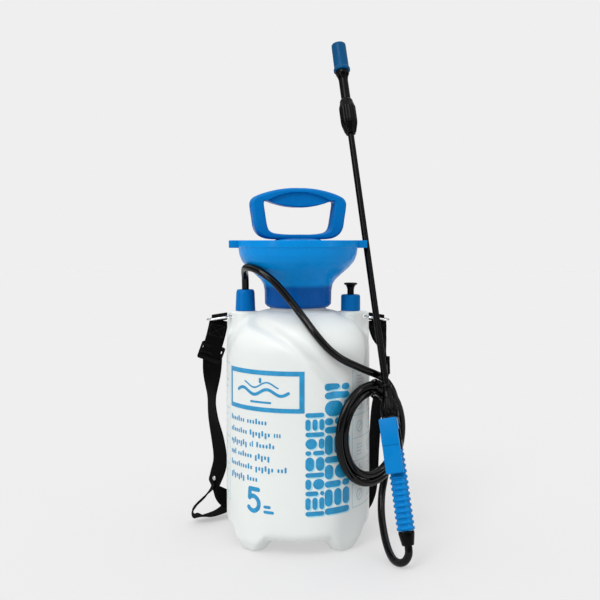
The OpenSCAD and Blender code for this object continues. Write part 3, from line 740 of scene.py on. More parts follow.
# ---- printing on the tank ----
class Print:
    """Thin ink shapes laid on the tank. Places are (angle from the front in degrees, height)."""

    PER_DEGREE = math.radians(1) * TANK_R
    # The tank's reach is sampled on a grid of these steps, and the ink's underside is this deep in it.
    ANGLE_STEP, HEIGHT_STEP, SUNK = 1.5, 2.0, 0.2

    def __init__(self, target):
        tree = BVHTree.FromObject(target, bpy.context.evaluated_depsgraph_get())
        self.angles = np.arange(-90, 90.1, self.ANGLE_STEP)
        self.heights = np.arange(44, 236, self.HEIGHT_STEP)
        self.reach = np.full((len(self.angles), len(self.heights)), TANK_R)
        for i, angle in enumerate(np.radians(self.angles)):
            way = Vector((math.sin(angle), -math.cos(angle), 0))
            for j, z in enumerate(self.heights):
                hit = tree.ray_cast((way * 120 + Vector((0, 0, z))) * MM, -way)[0]
                if hit:
                    self.reach[i, j] = math.hypot(hit.x, hit.y) / MM
        self.mesh = Mesh()
        self.lift = 0

    def radius(self, angle, z):
        u = np.clip((angle - self.angles[0]) / self.ANGLE_STEP, 0, len(self.angles) - 1.001)
        v = np.clip((z - self.heights[0]) / self.HEIGHT_STEP, 0, len(self.heights) - 1.001)
        i, j = u.astype(int), v.astype(int)
        a, b = u - i, v - j
        r = self.reach
        return ((1 - a) * (1 - b) * r[i, j] + a * (1 - b) * r[i + 1, j]
                + (1 - a) * b * r[i, j + 1] + a * b * r[i + 1, j + 1])

    def lay(self, grid):
        """A closed thin solid over a grid of (millimetres round the tank, height)."""
        flat = grid.reshape(-1, 2)
        angle = flat[:, 0] / self.PER_DEGREE
        radius = self.radius(angle, flat[:, 1])
        a = np.radians(angle)
        way = np.stack([np.sin(a), -np.cos(a), np.zeros(len(a))], 1)
        n, m = grid.shape[:2]
        up = np.stack([0 * a, 0 * a, flat[:, 1]], 1)
        points = np.concatenate([way * (radius + lift)[:, None] + up for lift in (self.lift, -self.SUNK)])
        faces = []
        for i in range(n - 1):
            for j in range(m - 1):
                q = [i * m + j, (i + 1) * m + j, (i + 1) * m + j + 1, i * m + j + 1]
                faces += [q, [k + n * m for k in q[::-1]]]
        edge = ([i * m for i in range(n)] + [(n - 1) * m + j for j in range(1, m)]
                + [i * m + m - 1 for i in range(n - 2, -1, -1)] + [j for j in range(m - 2, 0, -1)])
        for p, q in zip(edge, edge[1:] + edge[:1]):
            faces.append([p, q, q + n * m, p + n * m])
        self.mesh.add(points, faces)

    def stroke(self, path, width, step=2.5, round_ends=True):
        """A line of a given width through (millimetres round the tank, height) points."""
        path = respaced(np.array(path, float), step)
        t = tangents(path)
        across = np.stack([-t[:, 1], t[:, 0]], 1)
        half = np.full(len(path), width / 2)
        if round_ends:
            cap = np.radians([88, 68, 45, 22])
            start = [path[0] - t[0] * width / 2 * math.sin(c) for c in cap]
            end = [path[-1] + t[-1] * width / 2 * math.sin(c) for c in cap[::-1]]
            shrink = np.cos(cap) * width / 2
            path = np.array([*start, *path, *end])
            across = np.array([across[0]] * 4 + list(across) + [across[-1]] * 4)
            half = np.r_[shrink, half, shrink[::-1]]
        offsets = np.linspace(-1, 1, 5 if width > 2.5 else 3)
        self.lay(path[:, None] + offsets[None, :, None] * (half[:, None] * across)[:, None])

    def bar(self, x0, x1, z0, z1):
        nx, nz = max(2, int(abs(x1 - x0) / 2.5) + 1), max(2, int(abs(z1 - z0) / 6) + 1)
        xs, zs = np.linspace(x0, x1, nx), np.linspace(z0, z1, nz)
        self.lay(np.stack(np.meshgrid(xs, zs, indexing="ij"), 2))

    def frame(self, x0, x1, z0, z1, left, right=None, low=None, high=None):
        right, low, high = (left if width is None else width for width in (right, low, high))
        self.bar(x0, x1, z0, z0 + low)
        self.bar(x0, x1, z1 - high, z1)
        self.bar(x0, x0 + left, z0 + low, z1 - high)
        self.bar(x1 - right, x1, z0 + low, z1 - high)

    def ring(self, x, z, half_w, half_h, width, start=0, sweep=360):
        a = np.radians(np.linspace(start, start + sweep, max(10, int(sweep / 9))))
        path = np.stack([x + half_w * np.cos(a), z + half_h * np.sin(a)], 1)
        if sweep < 360:
            self.stroke(path, width, 1.6)
            return
        t = tangents(path[:-1], True)
        across = np.stack([-t[:, 1], t[:, 0]], 1)
        offsets = np.linspace(-1, 1, 5)
        grid = path[:-1, None] + offsets[None, :, None] * (width / 2 * across)[:, None]
        self.lay(np.concatenate([grid, grid[:1]]))

    def build(self, name, material):
        piece = self.mesh.build(name, material, weld=0.0, angle=35)
        self.mesh = Mesh()
        return put(piece, "tank", "blue_plastic")


def at(angle):
    return angle * Print.PER_DEGREE


def label(page):
    """A plain frame round two waves, a bar under them and a drop over them."""
    page.frame(at(-64), at(5), 170, 218.5, 4, 6, 5.2, 5.5)
    x0, x1 = at(-52), at(-7)
    wave = [(x0 + (x1 - x0) * t, 193 + 3.4 * math.sin(t * 4 * math.pi)) for t in np.linspace(0, 1, 41)]
    page.stroke(wave, 3.6, 1.5)
    page.stroke([(x, z + 8.2) for x, z in wave[7:34]], 1.8, 1.5)
    page.stroke([(at(-38), 181), (at(-21), 181)], 2.4)
    drop = (at(-29.5), 208)
    page.stroke([drop, (drop[0], drop[1] - 3.2)], 3.4, 1)


def text_rows(page):
    """Six rows of blocks where the real tank has its wording."""
    words = [(7, 7), (8, 7, 3), (8, 2, 6), (4, 6, 5), (10, 6, 3), (7, 4)]
    for row, counts in enumerate(words):
        z = 154 - row * 13.6
        x = at(-63.5)
        for w, count in enumerate(counts):
            for k in range(count):
                tall = (row * 5 + w * 3 + k * 7) % 4
                low = z - (2.6 if (row + k * 3 + w) % 6 == 5 else 0)
                high = z + (7.6 if tall == 0 else 5.4)
                wide = 2.3 if (k * 5 + row + w) % 5 == 3 else 3.3
                page.stroke([(x + wide / 2, low + wide / 2), (x + wide / 2, high - wide / 2)], wide * 0.72, 2)
                x += wide + 0.95
            x += 3.4


def capacity(page):
    """A bold numeral five, the tank's volume, with two small blocks after it."""
    x, z = at(-41), 50.5
    bowl = polar(1, np.radians(np.linspace(128, -142, 28))) * (8.4, 8.8) + (7.6, 10)
    shapes = (
        ([(3, 27), (15, 27)], 5.2, 2), ([(3, 27), (2.2, 16)], 5.2, 2), (bowl, 5.2, 1.6),
        ([(24, 2), (34, 2)], 3.4, 2), ([(24, 8), (30, 8)], 3.4, 2),
    )
    for path, width, step in shapes:
        page.stroke([(x + u, z + v) for u, v in path], width, step)


def bold_column(page, x, z, half, rows, shift):
    """Bold bars and drops up a column, in place of the wording that runs up the tank. Each row
    is a height and the share of the width that each of its blocks takes."""
    gap = 2.2
    for height, *shares in rows:
        left, low = x + shift[0] - half, z + shift[1]
        for share in shares:
            width = (2 * half - gap * (len(shares) - 1)) * share / sum(shares)
            thick = min(width, height)
            # The line runs along the block's longer side.
            ends = [(left + thick / 2, low + thick / 2), (left + width - thick / 2, low + height - thick / 2)]
            page.stroke(ends, thick, 2)
            left += width + gap
        z += height + gap


# Each row: its height, and the shares of its blocks.
TALL_COLUMN = [(5.2, 1), (14, 1, 1, 1), (5.2, 3, 1), (12, 1, 2), (5.2, 1), (16, 1, 1), (5.2, 1, 2), (12, 2, 1),
               (5.2, 1), (13, 1, 1, 1), (5.2, 1)]
BOLD_COLUMN = [(7.4, 1), (20, 1, 1, 1), (7.4, 2, 1), (17, 1, 2), (7.4, 1), (23, 1, 1, 1), (7.4, 1), (8, 1, 2),
               (18, 3, 1), (7.4, 1), (7.4, 2, 1)]


def side_panels(faint):
    """Boxes of small pictograms on the right, and a plain outlined panel on the left."""
    foot, head, rows, line = 51, 216, 6, 0.9
    x0, x1 = at(46), at(84)
    faint.frame(x0, x1, foot, head, line)
    step = (head - foot) / rows
    for k in range(1, rows):
        faint.bar(x0 + line, x1 - line, foot + k * step, foot + k * step + line)
    for k in range(rows):
        z, middle = foot + k * step + step / 2, (x0 + x1) / 2
        for side in (-1, 1):
            x = middle + side * (x1 - x0) / 4.2
            kind = (k + (side > 0)) % 3
            if kind == 0:
                faint.ring(x, z, 6.4, 6.4, 1.3)
                faint.stroke([(x - 3, z - 3), (x + 3, z + 3)], 1.3, 2)
            elif kind == 1:
                faint.frame(x - 5.5, x + 5.5, z - 7, z + 5, 1.2)
                faint.stroke([(x, z + 6.5), (x, z + 9)], 2.4, 1)
            else:
                for j in range(4):
                    faint.stroke([(x - 6, z - 6 + 4 * j), (x + 6 - 2 * (j % 2), z - 6 + 4 * j)], 1.1, 3)
    x0, x1 = at(-85), at(-67)
    faint.frame(x0, x1, 53, 221, line)
    for k in range(18):
        z = 62 + k * 8.6
        faint.stroke([(x0 + 4, z), (x1 - 4 - 5 * ((k * 3) % 4), z)], 1.5, 3)


def prints(target):
    page = Print(target)

    def columns(shift=(0, 0)):
        bold_column(page, at(12.8), 50, 11.3, TALL_COLUMN, shift)
        bold_column(page, at(31.5), 50, 17.2, BOLD_COLUMN, shift)

    # The pale ink lies lower than the blue, so that neither shows through the other.
    for name, material, lift, draw in (
        ("shadow", PALE_INK, 0.1, lambda: columns((1.7, -1.6))),
        ("panels", FAINT_INK, 0.1, lambda: side_panels(page)),
        ("label", INK, 0.3, lambda: label(page)),
        ("rows", INK, 0.3, lambda: text_rows(page)),
        ("capacity", INK, 0.3, lambda: capacity(page)),
        ("columns", INK, 0.3, columns),
    ):
        page.lift = lift
        draw()
        page.build("print_" + name, material)


prints(tank())


# ---- funnel, outlet and relief valve ----
def lug(side):
    """A flat lug on the funnel's rim. The right one has a notch that leans with the lance."""
    half, inner, thick = 13.0, 73.2, 9.5
    points = {}
    for z in (RIM_Z - thick, RIM_Z):
        outer = [(LUG_R * math.cos(a), LUG_R * math.sin(a))
                 for a in np.linspace(-math.asin(half / LUG_R), math.asin(half / LUG_R), 25)]
        if side > 0:
            up = (z - LANCE_AT[2]) / LANCE_DIR[2]
            middle = LANCE_AT[:2] + up * LANCE_DIR[:2]
            r = 4.4
            notch = [(middle[0] - r * math.sin(a), middle[1] - (r + 0.25) * math.cos(a))
                     for a in np.radians(np.linspace(0, 180, 15))]
            low = [p for p in outer if p[1] < notch[0][1] - 0.3]
            high = [p for p in outer if p[1] > notch[-1][1] + 0.3]
            reach = lambda y: math.sqrt(LUG_R ** 2 - y ** 2)
            low = low[:1] + [(reach(y), y) for y in np.linspace(low[0][1], notch[0][1], 8)[1:]]
            high = [(reach(y), y) for y in np.linspace(notch[-1][1], high[-1][1], 8)[:-1]] + high[-1:]
            outer = low + notch + high
        points[z] = [(inner, -half)] + outer + [(inner, half)]
    n = len(points[RIM_Z])
    mesh = Mesh().add([(*p, z) for z, outline in points.items() for p in outline],
                      [[i, (i + 1) % n, n + (i + 1) % n, n + i] for i in range(n)]
                      + [list(range(n))[::-1], list(range(n, 2 * n))])
    if side < 0:
        mesh.moved(turn(180, "Z"))
    return mesh.build("funnel_lug_right" if side > 0 else "funnel_lug_left", AZURE, bevel=1.1)


def funnel():
    rim, seat = RIM_Z, SEAT_Z
    bowl = [
        (35.2, 286.4, 0.4), (38.4, 287.4, 1.5), (41.5, 290.6, 1.5), (41.9, 307.5, 6), (43.4, 315.5, 8),
        (47, 321.2, 8), (54.2, 328, 12), (63.4, 336, 16), (70.2, 344, 16), (73.4, 352, 20), (74.4, 360.4, 3),
        (75.4, 362.2, 0.8), (RIM_R, rim, 1.1), (RIM_R - 2.8, rim, 1.1), (72.2, 359.8, 10), (70.0, 351, 16),
        (66.8, 345, 14), (60.4, 338.4, 12), (51.5, 330.6, 10), (44, 324.4, 8), (40.4, 318, 4),
        (39.6, seat, 0.6), (36.2, seat, 0.6), (36.2, seat + 14.5, 0.8), (33, seat + 14.5, 0.8), (33, seat, 0.5), (27.5, seat, 0.5),
        (27.5, 310, 0.5), (35.2, 310, 0.4),
    ]

    # Broad soft ribs for the fingers round the collar.
    grips = ribs(36, 0.45, (288, 3), (308, 5), 39, 2)
    piece = turned("funnel_bowl", bowl, FUNNEL_AZURE, steps=216, wave=grips, corner=5)
    put(piece, "tank", "blue_plastic", "funnel")
    for side in (-1, 1):
        put(lug(side), "tank", "blue_plastic")


def outlet_cap():
    base = EAR_TOP
    profile = [
        (9, base, 0.3), (12.6, base, 0.8), (12.3, base + 4, 1), (11.5, base + 22.5, 3),
        (10.2, base + 26.3, 1.2), (4.8, base + 26.5, 0.6), (4.8, base + 20.5), (9, base + 20.5),
    ]

    flutes = ribs(24, 0.3, (base + 3, 2), (base + 22, 3), 11, 3)
    cap = turned("outlet_cap_shell", profile, SHADED_AZURE, shift(-EAR_X, 0, 0), 144, True, flutes)
    put(cap, "tank", "blue_plastic", "outlet_cap")


def relief():
    base = EAR_TOP
    cap = [
        (9, base, 0.3), (12.1, base, 0.8), (12.0, base + 18.4, 1.6), (10.6, base + 20, 1.0),
        (4.35, base + 20, 0.5), (4.35, base + 17.5), (9, base + 17.5),
    ]

    knurl = ribs(30, 0.28, (base + 2, 1.5), (base + 17, 1.5), 11, 3)
    at_ear = shift(EAR_X, 0, 0)
    shell = turned("relief_cap_shell", cap, SHADED_AZURE, at_ear, 180, True, knurl)
    put(shell, "tank", "blue_plastic", "relief_cap")
    pin = [
        (0, base + 7.8), (6.5, base + 7.8, 0.3), (6.5, base + 9.3, 0.3), (4.2, base + 9.3),
        (4.2, base + 26.5, 3), (4.9, base + 29.4, 4), (6.3, base + 31.6, 3), (8.5, base + 33, 0.4), (8.5, base + 34.2, 0.5),
        (7, base + 34.8, 1), (3.4, base + 34.8, 0.4), (3.2, base + 34.3, 0.3), (0, base + 34.3),
    ]
    mesh = lathe(Mesh(), rounded(pin, False, 4), 64, False).moved(at_ear)
    put(mesh.build("relief_pin_turned", BLACK, angle=50), "relief", "black_plastic", "relief_pin")


# ---- handle ----
# Points of the handle's outline and of its window, in pairs, from the middle of the foot round
# one side to the middle of the top bar.
HANDLE_LOOP = [
    ((0, 371), (0, 377.2)), ((17, 371), (13, 377.2)), ((33, 371.2), (25, 377.9)), ((44, 373), (33.5, 379.4)),
    ((52, 378), (38.2, 382.4)), ((56.4, 385.5), (40.6, 387.5)), ((58.3, 397), (42.4, 397)),
    ((60.1, 409), (44, 408)),
    ((60.4, 416.5), (44.9, 414.2)), ((57.2, 422.3), (44.2, 418.2)), ((49.5, 426.6), (39.5, 418.2)),
    ((38, 430.4), (31, 415.4)), ((24, 433.4), (20, 412.6)), ((11, 434.8), (9, 411.2)), ((0, 435), (0, 411)),
]


def handle():
    pairs = HANDLE_LOOP + [((-a[0], a[1]), (-b[0], b[1])) for a, b in HANDLE_LOOP[-2:0:-1]]
    outer = curve([a for a, b in pairs], 9, True)
    inner = curve([b for a, b in pairs], 9, True)
    half = HANDLE_DEPTH / 2
    rings = []
    for o, w in zip(outer, inner):
        reach = np.linalg.norm(o - w)
        radius = min(4.2, reach * 0.42)
        section = rounded([(reach, half, radius), (0, half, radius * 0.8), (0, -half, radius * 0.8),
                           (reach, -half, radius)], True, 7)
        # Extra points across both flat faces, to carry the lens-shaped hollows.
        dense = []
        for i, p in enumerate(section):
            q = section[(i + 1) % len(section)]
            on_face = abs(abs(p[1]) - half) < 0.01 and abs(abs(q[1]) - half) < 0.01 and p[1] * q[1] > 0
            count = 16 if on_face else (6 if np.linalg.norm(q - p) > half * 0.6 else 1)
            dense += [p + (q - p) * k / count for k in range(count)]
        dense = np.array(dense)
        place = w + dense[:, :1] * (o - w) / reach
        rings.append(np.c_[place[:, 0], dense[:, 1], place[:, 1]])
    rings = np.array(rings)
    # The hollows are lens-shaped, and follow the top bar's bow.
    hollow_half, hollow_deep, hollow_high = 41, 3.6, 8.6
    x, z = rings[..., 0], rings[..., 2]
    along = (x / hollow_half) ** 2
    level = np.clip((hollow_high * (1 - along) - np.abs(z - 421.3 + 2.4 * along)) / 1.5, 0, 1)
    hollow = hollow_deep * smooth(level) * (np.abs(x) < hollow_half)
    on_face = smooth((np.abs(rings[..., 1]) - half + 0.7) / 0.6)
    rings[..., 1] -= np.sign(rings[..., 1]) * hollow * on_face
    mesh = Mesh().grid(rings, closed_path=True)
    mesh.moved(turn(HANDLE_TURN, "Z"))
    loop = mesh.build("handle_loop", HANDLE_AZURE, angle=60)
    hub = [
        (5.1, 352.5), (9.5, 352.5, 0.4), (9.5, 366), (30.5, 366), (30.5, 345, 0.5), (33.5, 345, 0.8),
        (33.3, 366.5, 2), (31.6, 369.2, 2.5), (26, 371.6, 4), (5.1, 372.6),
    ]

    flutes = ribs(20, 0.8, (346.5, 2), (366, 3), 32, 2)
    hub_piece = turned("handle_hub", hub, HANDLE_AZURE, turn(HANDLE_TURN, "Z"), 160, True, flutes)
    put(loop, "handle", "blue_plastic", "handle")
    put(hub_piece, "handle", "blue_plastic")


# ---- lance ----
def lance_pieces():
    tube_profile = [(3, -205), (4, -205), (4, 171), (7.5, 171), (7.5, 174), (3, 174)]
    put(turned("lance_tube_drawn", tube_profile, BLACK, LANCE, 40), "lance", "black_plastic", "lance_tube")

    nut = [
        (4.15, 158), (6.3, 158, 0.6), (6.9, 160, 1.5), (7.8, 161.4, 1), (10.8, 173, 2.5), (11.1, 177, 2.5),
        (11.1, 196.5, 2), (9.0, 203.4, 1.2), (8.8, 204.6, 0.4), (8.4, 207, 1), (7.3, 209, 0.6), (6.3, 209, 0.3),
        (6.3, 189), (8, 189), (8, 170.8), (4.15, 170.8),
    ]

    grooves = ribs(12, 0.75, (163, 4), (201, 4), 8.2, 2, 1)
    piece = turned("union_nut_moulded", nut, BLACK, LANCE, 144, True, grooves, 5)
    put(piece, "lance", "black_plastic", "union_nut")

    stem = [
        (1.5, 176.5), (7.8, 176.5), (7.8, 188.6), (6.2, 188.8), (6.2, 239, 6), (7.2, 244, 5), (8.9, 247.4, 1.5),
        (8.9, 251.7, 0.5), (6.3, 251.7), (6.3, 260.4), (5.2, 260.4), (5.2, 263.4), (6.3, 263.4),
        (6.3, 284), (3, 289), (1.5, 289),
    ]
    put(turned("nozzle_stem_turned", stem, BLACK, LANCE, 64), "lance", "black_plastic", "nozzle_stem")

    cap = [
        (6.5, 252), (10.9, 252, 0.5), (11.1, 253.4, 0.6), (11.0, 255.6, 0.8), (9.9, 257.8, 0.8), (9.75, 288, 3),
        (9.55, 292.8, 0.9), (7.6, 293.8, 0.5), (6.9, 292.6, 0.4), (2.6, 292.6, 0.4), (2.4, 293.6, 0.3),
        (0.8, 293.6, 0.2), (0.8, 291), (6.5, 288),
    ]

    knurls = ribs(18, 0.35, (258.5, 2.5), (288, 3), 9, 3)
    piece = turned("nozzle_cap_moulded", cap, CAP_AZURE, LANCE, 144, True, knurls)
    put(piece, "nozzle", "blue_plastic", "nozzle_cap")

    lower = [
        (4.15, -182), (5.1, -182, 0.5), (5.4, -184, 1.5), (6.3, -189, 2), (7.3, -191, 0.6), (10.5, -201, 3),
        (10.7, -203, 1.5), (10.7, -211.5, 0.4), (10.4, -212, 0.3), (6.2, -212), (6.2, -190), (4.15, -190),
    ]

    grooves = ribs(24, 0.55, (-211.2, 1), (-193.5, 3), 7.6, 1.5, 1)
    piece = turned("lance_nut_ribbed", lower, BLACK, LANCE, 192, True, grooves, 5)
    put(piece, "lance", "black_plastic", "lance_nut")


def valve_body():
    barrel = [
        (0, -351), (4.95, -351), (4.95, -252), (9.6, -250.7, 0.5), (9.8, -247, 0.6), (9.8, -214, 0.8),
        (9.2, -212.4, 0.8), (6.1, -212.3), (6.1, -192.5), (0, -192.5),
    ]
    mesh = lathe(Mesh(), rounded(barrel, False, 3), 64, False).moved(LANCE)
    body = mesh.build("valve_barrel", BLACK, angle=45)
    matrix = TRIGGER_SIDE @ shift(0, -6.3, 0)
    cheek = prism(Mesh(), rounded_box(15.8, 12.4, 1.6), -229, -212.4, matrix)
    cheeks = cheek.build("valve_cheeks", BLACK, bevel=0.5)
    # A raised oval on each side of the body.
    ovals = Mesh()
    for side in (-1, 1):
        path = np.array([(side * (9.3 + 0.4 * math.cos(a)), 1.5 + 4.2 * math.cos(a), -231 + 9.5 * math.sin(a))
                         for a in np.radians(np.arange(0, 360, 12))])
        loop_tube(ovals, path, circle(1.05, 8), (side * 9.3, 1.5, -231))
    ovals.moved(TRIGGER_SIDE)
    oval = ovals.build("valve_ovals", BLACK)
    for piece in (cheeks, oval):
        piece.parent = body
    put(body, "lance", "black_plastic", "valve_body")


def trigger():
    """A hollow box open towards the lance, with cheeks at its top and a proud upper half."""
    half, face = 10.25, -17.2
    mesh = Mesh()
    outer = panel(-half, half, -278, -215, 2.2, 1.6)
    inner = panel(-8.25, 8.25, -276, -217, 1.2, 1)
    n = len(outer)

    def layer(outline, y):
        return [(x, y, z) for x, z in outline]

    lip = face + 4.2
    inset = panel(-half + 0.7, half - 0.7, -277.3, -215.7, 1.8, 1.2)
    points = []
    for outline, y in ((inset, face), (outer, face + 0.7), (outer, lip), (inner, lip), (inner, face + 2.2)):
        points += layer(outline, y)
    faces = [list(range(n))]
    for k in range(4):
        for i in range(n):
            j = (i + 1) % n
            faces.append([k * n + i, k * n + j, (k + 1) * n + j, (k + 1) * n + i])
    faces.append([4 * n + i for i in range(n)][::-1])
    mesh.add(points, faces)
    mesh.moved(TRIGGER_SIDE)
    shell = mesh.build("trigger_box", AZURE, bevel=0.35)
    pad = panel(-half + 0.2, half - 0.2, -246, -215.2, 0.8, 1.6)
    upright = Matrix(((1, 0, 0, 0), (0, 0, -1, 0), (0, 1, 0, 0), (0, 0, 0, 1)))
    extras = Mesh()
    prism(extras, pad, -face - 0.6, -face + 0.9, TRIGGER_SIDE @ upright)
    for side in (-1, 1):
        x0 = side * 9.25
        cheek = panel(x0 - 1, x0 + 1, face + 0.6, face + 10.8, 0.3, 0.6, 3)
        prism(extras, cheek, -228.5, -215.2, TRIGGER_SIDE)
    extra = extras.build("trigger_cheeks", AZURE, bevel=0.35)
    extra.parent = shell
    put(shell, "trigger", "blue_plastic", "trigger")


def grip():
    """Ribs round a core, tied by four spines, with a flat pocket behind the trigger."""
    low, high, core, rib = -341, -251, 8.5, 10.4
    count, pitch = 14, 6.3
    steps = 144
    angle = round_steps(steps)
    heights = []
    for k in range(count):
        z = low + 0.6 + pitch * k
        heights += [z - 0.02, z + 0.55, z + 1.1, z + 2.1, z + 3.1, z + 3.65, z + 4.22]
    heights = np.array([low] + heights + [high])
    heights = heights[heights <= high]
    rings = []
    for z in heights:
        phase = (z - low - 0.6) % pitch
        ridge = smooth(phase / 0.8) * smooth((4.2 - phase) / 0.8) if phase < 4.2 else 0.0
        radius = np.full(steps, core + (rib - core) * ridge)
        for k in range(4):
            spine = math.radians(45 + 90 * k - TRIGGER_TURN)
            away = np.abs((angle - spine + math.pi) % (2 * math.pi) - math.pi) * core
            radius = np.maximum(radius, core + (9.5 - core) * smooth((2.6 - away) / 0.9))
        if z > -281:
            # The pocket: cut flat on the side that faces the trigger.
            toward = math.radians(-90 - TRIGGER_TURN)
            lean = np.cos(angle - toward)
            radius = np.where(lean > 0.2, np.minimum(radius, 5.85 / np.maximum(lean, 0.2)), radius)
            radius = np.maximum(radius, 5.3)
        rings.append(np.c_[polar(radius, angle), np.full(steps, z)])
    inner = [np.c_[polar(5.1, angle), np.full(steps, z)] for z in (heights[-1], low)]
    mesh = Mesh().grid(np.array(rings + inner), closed_path=True)
    mesh.moved(LANCE)
    put(mesh.build("grip_ribbed", AZURE, angle=60), "lance", "blue_plastic", "grip")
    cap = [
        (5.1, -341.1), (9.2, -341.1, 0.8), (9.2, -344, 1), (8.7, -347, 2), (6.9, -356, 1), (6.2, -357, 0.6),
        (4.6, -357, 0.4), (4.6, -352), (5.1, -352),
    ]
    put(turned("grip_cap_moulded", cap, BLACK, LANCE, 64), "lance", "black_plastic", "grip_cap")


funnel()
outlet_cap()
relief()
handle()
lance_pieces()
valve_body()
trigger()
grip()


# ---- strap ----
STRAP_W, STRAP_T = 25, 1.6
# Places of the webbing, and the way its face looks: degrees about Z, and, where it is given,
# degrees up from level.
STRAP = [
    (-109, 14, 219, -96), (-109.5, 14, 205, -105), (-110.5, 16, 172, -148), (-109, 18, 146, -146),
    (-103, 20, 114, -134), (-101, 24, 85, -132), (-107, 28, 62, -140), (-111, 32, 48, -160),
    (-98, 46, 31, -190), (-86, 62, 20, -212), (-68, 82, 14, -230), (-38, 99, 13.5, -249),
    (0, 106, 13.5, -270), (38, 99, 13.5, -291), (68, 80, 14, -310), (86, 56, 22, -325),
    (94, 36, 44, -332), (97, 26, 72, -334), (98, 22, 110, -334), (100, 19, 150, -336),
    (105, 16, 180, -342), (112, 14, 204, -350),
]
LOOP = [
    (-110, 29, 58, -160, 0), (-113.5, 33, 47, -185, 0), (-124, 37, 33, -196, 10), (-135, 39, 21, -190, 15),
    (-137.5, 38, 13, -165, 0), (-130, 39.5, 8, -110, -50), (-118, 49, 6.5, -122, -70), (-104, 61, 8, -132, -62),
    (-91, 75, 12, -138, -30),
]
END_LEFT = [(-100, 12.5, 269, -90), (-104, 12.5, 251, -93), (-109, 13, 233, -96), (-111, 13.5, 222, -96)]
END_RIGHT = [(100, 12.5, 269, -90), (103, 12.5, 250, -55), (110, 13, 230, -10), (113, 14, 206, 8)]


def ribbon_frame(route, step=1.6):
    route = [(*p, 0) if len(p) == 4 else p for p in route]
    path = respaced(curve(route, 12), step)
    t = tangents(path[:, :3])
    look, up = np.radians(path[:, 3]), np.radians(path[:, 4])
    face = np.stack([np.cos(look) * np.cos(up), np.sin(look) * np.cos(up), np.sin(up)], 1)
    face -= (face * t).sum(1)[:, None] * t
    face /= np.linalg.norm(face, axis=1)[:, None]
    return path[:, :3], face, np.cross(face, t)


def ribbon(mesh, route, width, thick, ripple=0.0):
    """A woven band with rounded selvedges. Its UVs are millimetres along and across."""
    place, face, across = ribbon_frame(route)
    section = rounded_box(width, thick, thick * 0.45, 3)
    wide = []
    for i, p in enumerate(section):
        q = section[(i + 1) % len(section)]
        count = 12 if np.linalg.norm(q - p) > width / 2 else 1
        wide += [p + (q - p) * k / count for k in range(count)]
    section = np.array(wide)
    at_length = lengths(place)
    cup = ripple * np.sin(at_length / 17) * np.cos(at_length / 41)
    rings = (place[:, None] + section[None, :, :1] * across[:, None] + section[None, :, 1:] * face[:, None]
             + (cup[:, None] * (section[None, :, 0] / (width / 2)) ** 2)[..., None] * face[:, None])
    # The two faces take parts of the weave that lie 40 mm apart.
    over = section[None, :, 0] + 40 * (section[None, :, 1] > 0)
    uvs = np.stack(np.broadcast_arrays(at_length[:, None], over), 2)
    return mesh.grid(rings, uvs=uvs), at_length[-1]


def stitches(name, route, along, width):
    """A box of short stitches, a cross inside it, on both faces of a doubled end."""
    place, face, across = ribbon_frame(route)
    at_length = lengths(place)
    mesh = Mesh()
    start, end = along
    corners = [(start, -width), (start, width), (end, width), (end, -width)]
    lines = [(corners[i], corners[(i + 1) % 4]) for i in range(4)]
    lines += [(corners[0], corners[2]), (corners[1], corners[3])]
    for side in (-1, 1):
        for a, b in lines:
            count = max(3, int(math.dist(a, b) / 2.6))
            for k in range(count):
                points = []
                for s in (k + 0.15, k + 0.85):
                    u, v = a[0] + (b[0] - a[0]) * s / count, a[1] + (b[1] - a[1]) * s / count
                    spot = [np.interp(u, at_length, place[:, i]) for i in range(3)]
                    f = [np.interp(u, at_length, face[:, i]) for i in range(3)]
                    c = [np.interp(u, at_length, across[:, i]) for i in range(3)]
                    points.append(np.array(spot) + v * np.array(c) + side * (STRAP_T + 0.1) * np.array(f))
                tube(mesh, np.array([points[0], (points[0] + points[1]) / 2, points[1]]), 0.34, 6, f)
    piece = mesh.build(name, THREAD)
    return put(piece, "tank", "webbing")


def ring_fold(mesh, side):
    """The fold of the doubled webbing round the ring's rear bar."""
    droop = shift(*EYE) @ turn(9, "Y") @ shift(15, 9, 0) @ turn(90, "Y")
    profile = rounded([(2.45, -10, 0.5), (4.7, -10, 0.8), (4.7, 10, 0.8), (2.45, 10, 0.5)], True, 3)
    part = lathe(Mesh(), profile, 40)
    return mesh.join(part.moved(droop).on_side(side))


def strap():
    mesh, length = ribbon(Mesh(), STRAP, STRAP_W, STRAP_T, 0.5)
    band = mesh.build("strap_band", WEBBING)
    put(band, "tank", "webbing", "strap")
    mesh, length = ribbon(Mesh(), LOOP, STRAP_W * 0.8, STRAP_T, 0.3)
    loop = mesh.build("strap_loop_band", WEBBING)
    put(loop, "tank", "webbing", "strap_loop")
    for side, route in (("left", END_LEFT), ("right", END_RIGHT)):
        mesh, length = ribbon(Mesh(), route, STRAP_W - 1, 2 * STRAP_T, 0.2)
        ring_fold(mesh, -1 if side == "left" else 1)
        piece = mesh.build("strap_end_band_" + side, WEBBING)
        put(piece, "tank", "webbing", "strap_end_" + side)
        stitches("strap_stitches_" + side, route, (7, 21), 9)


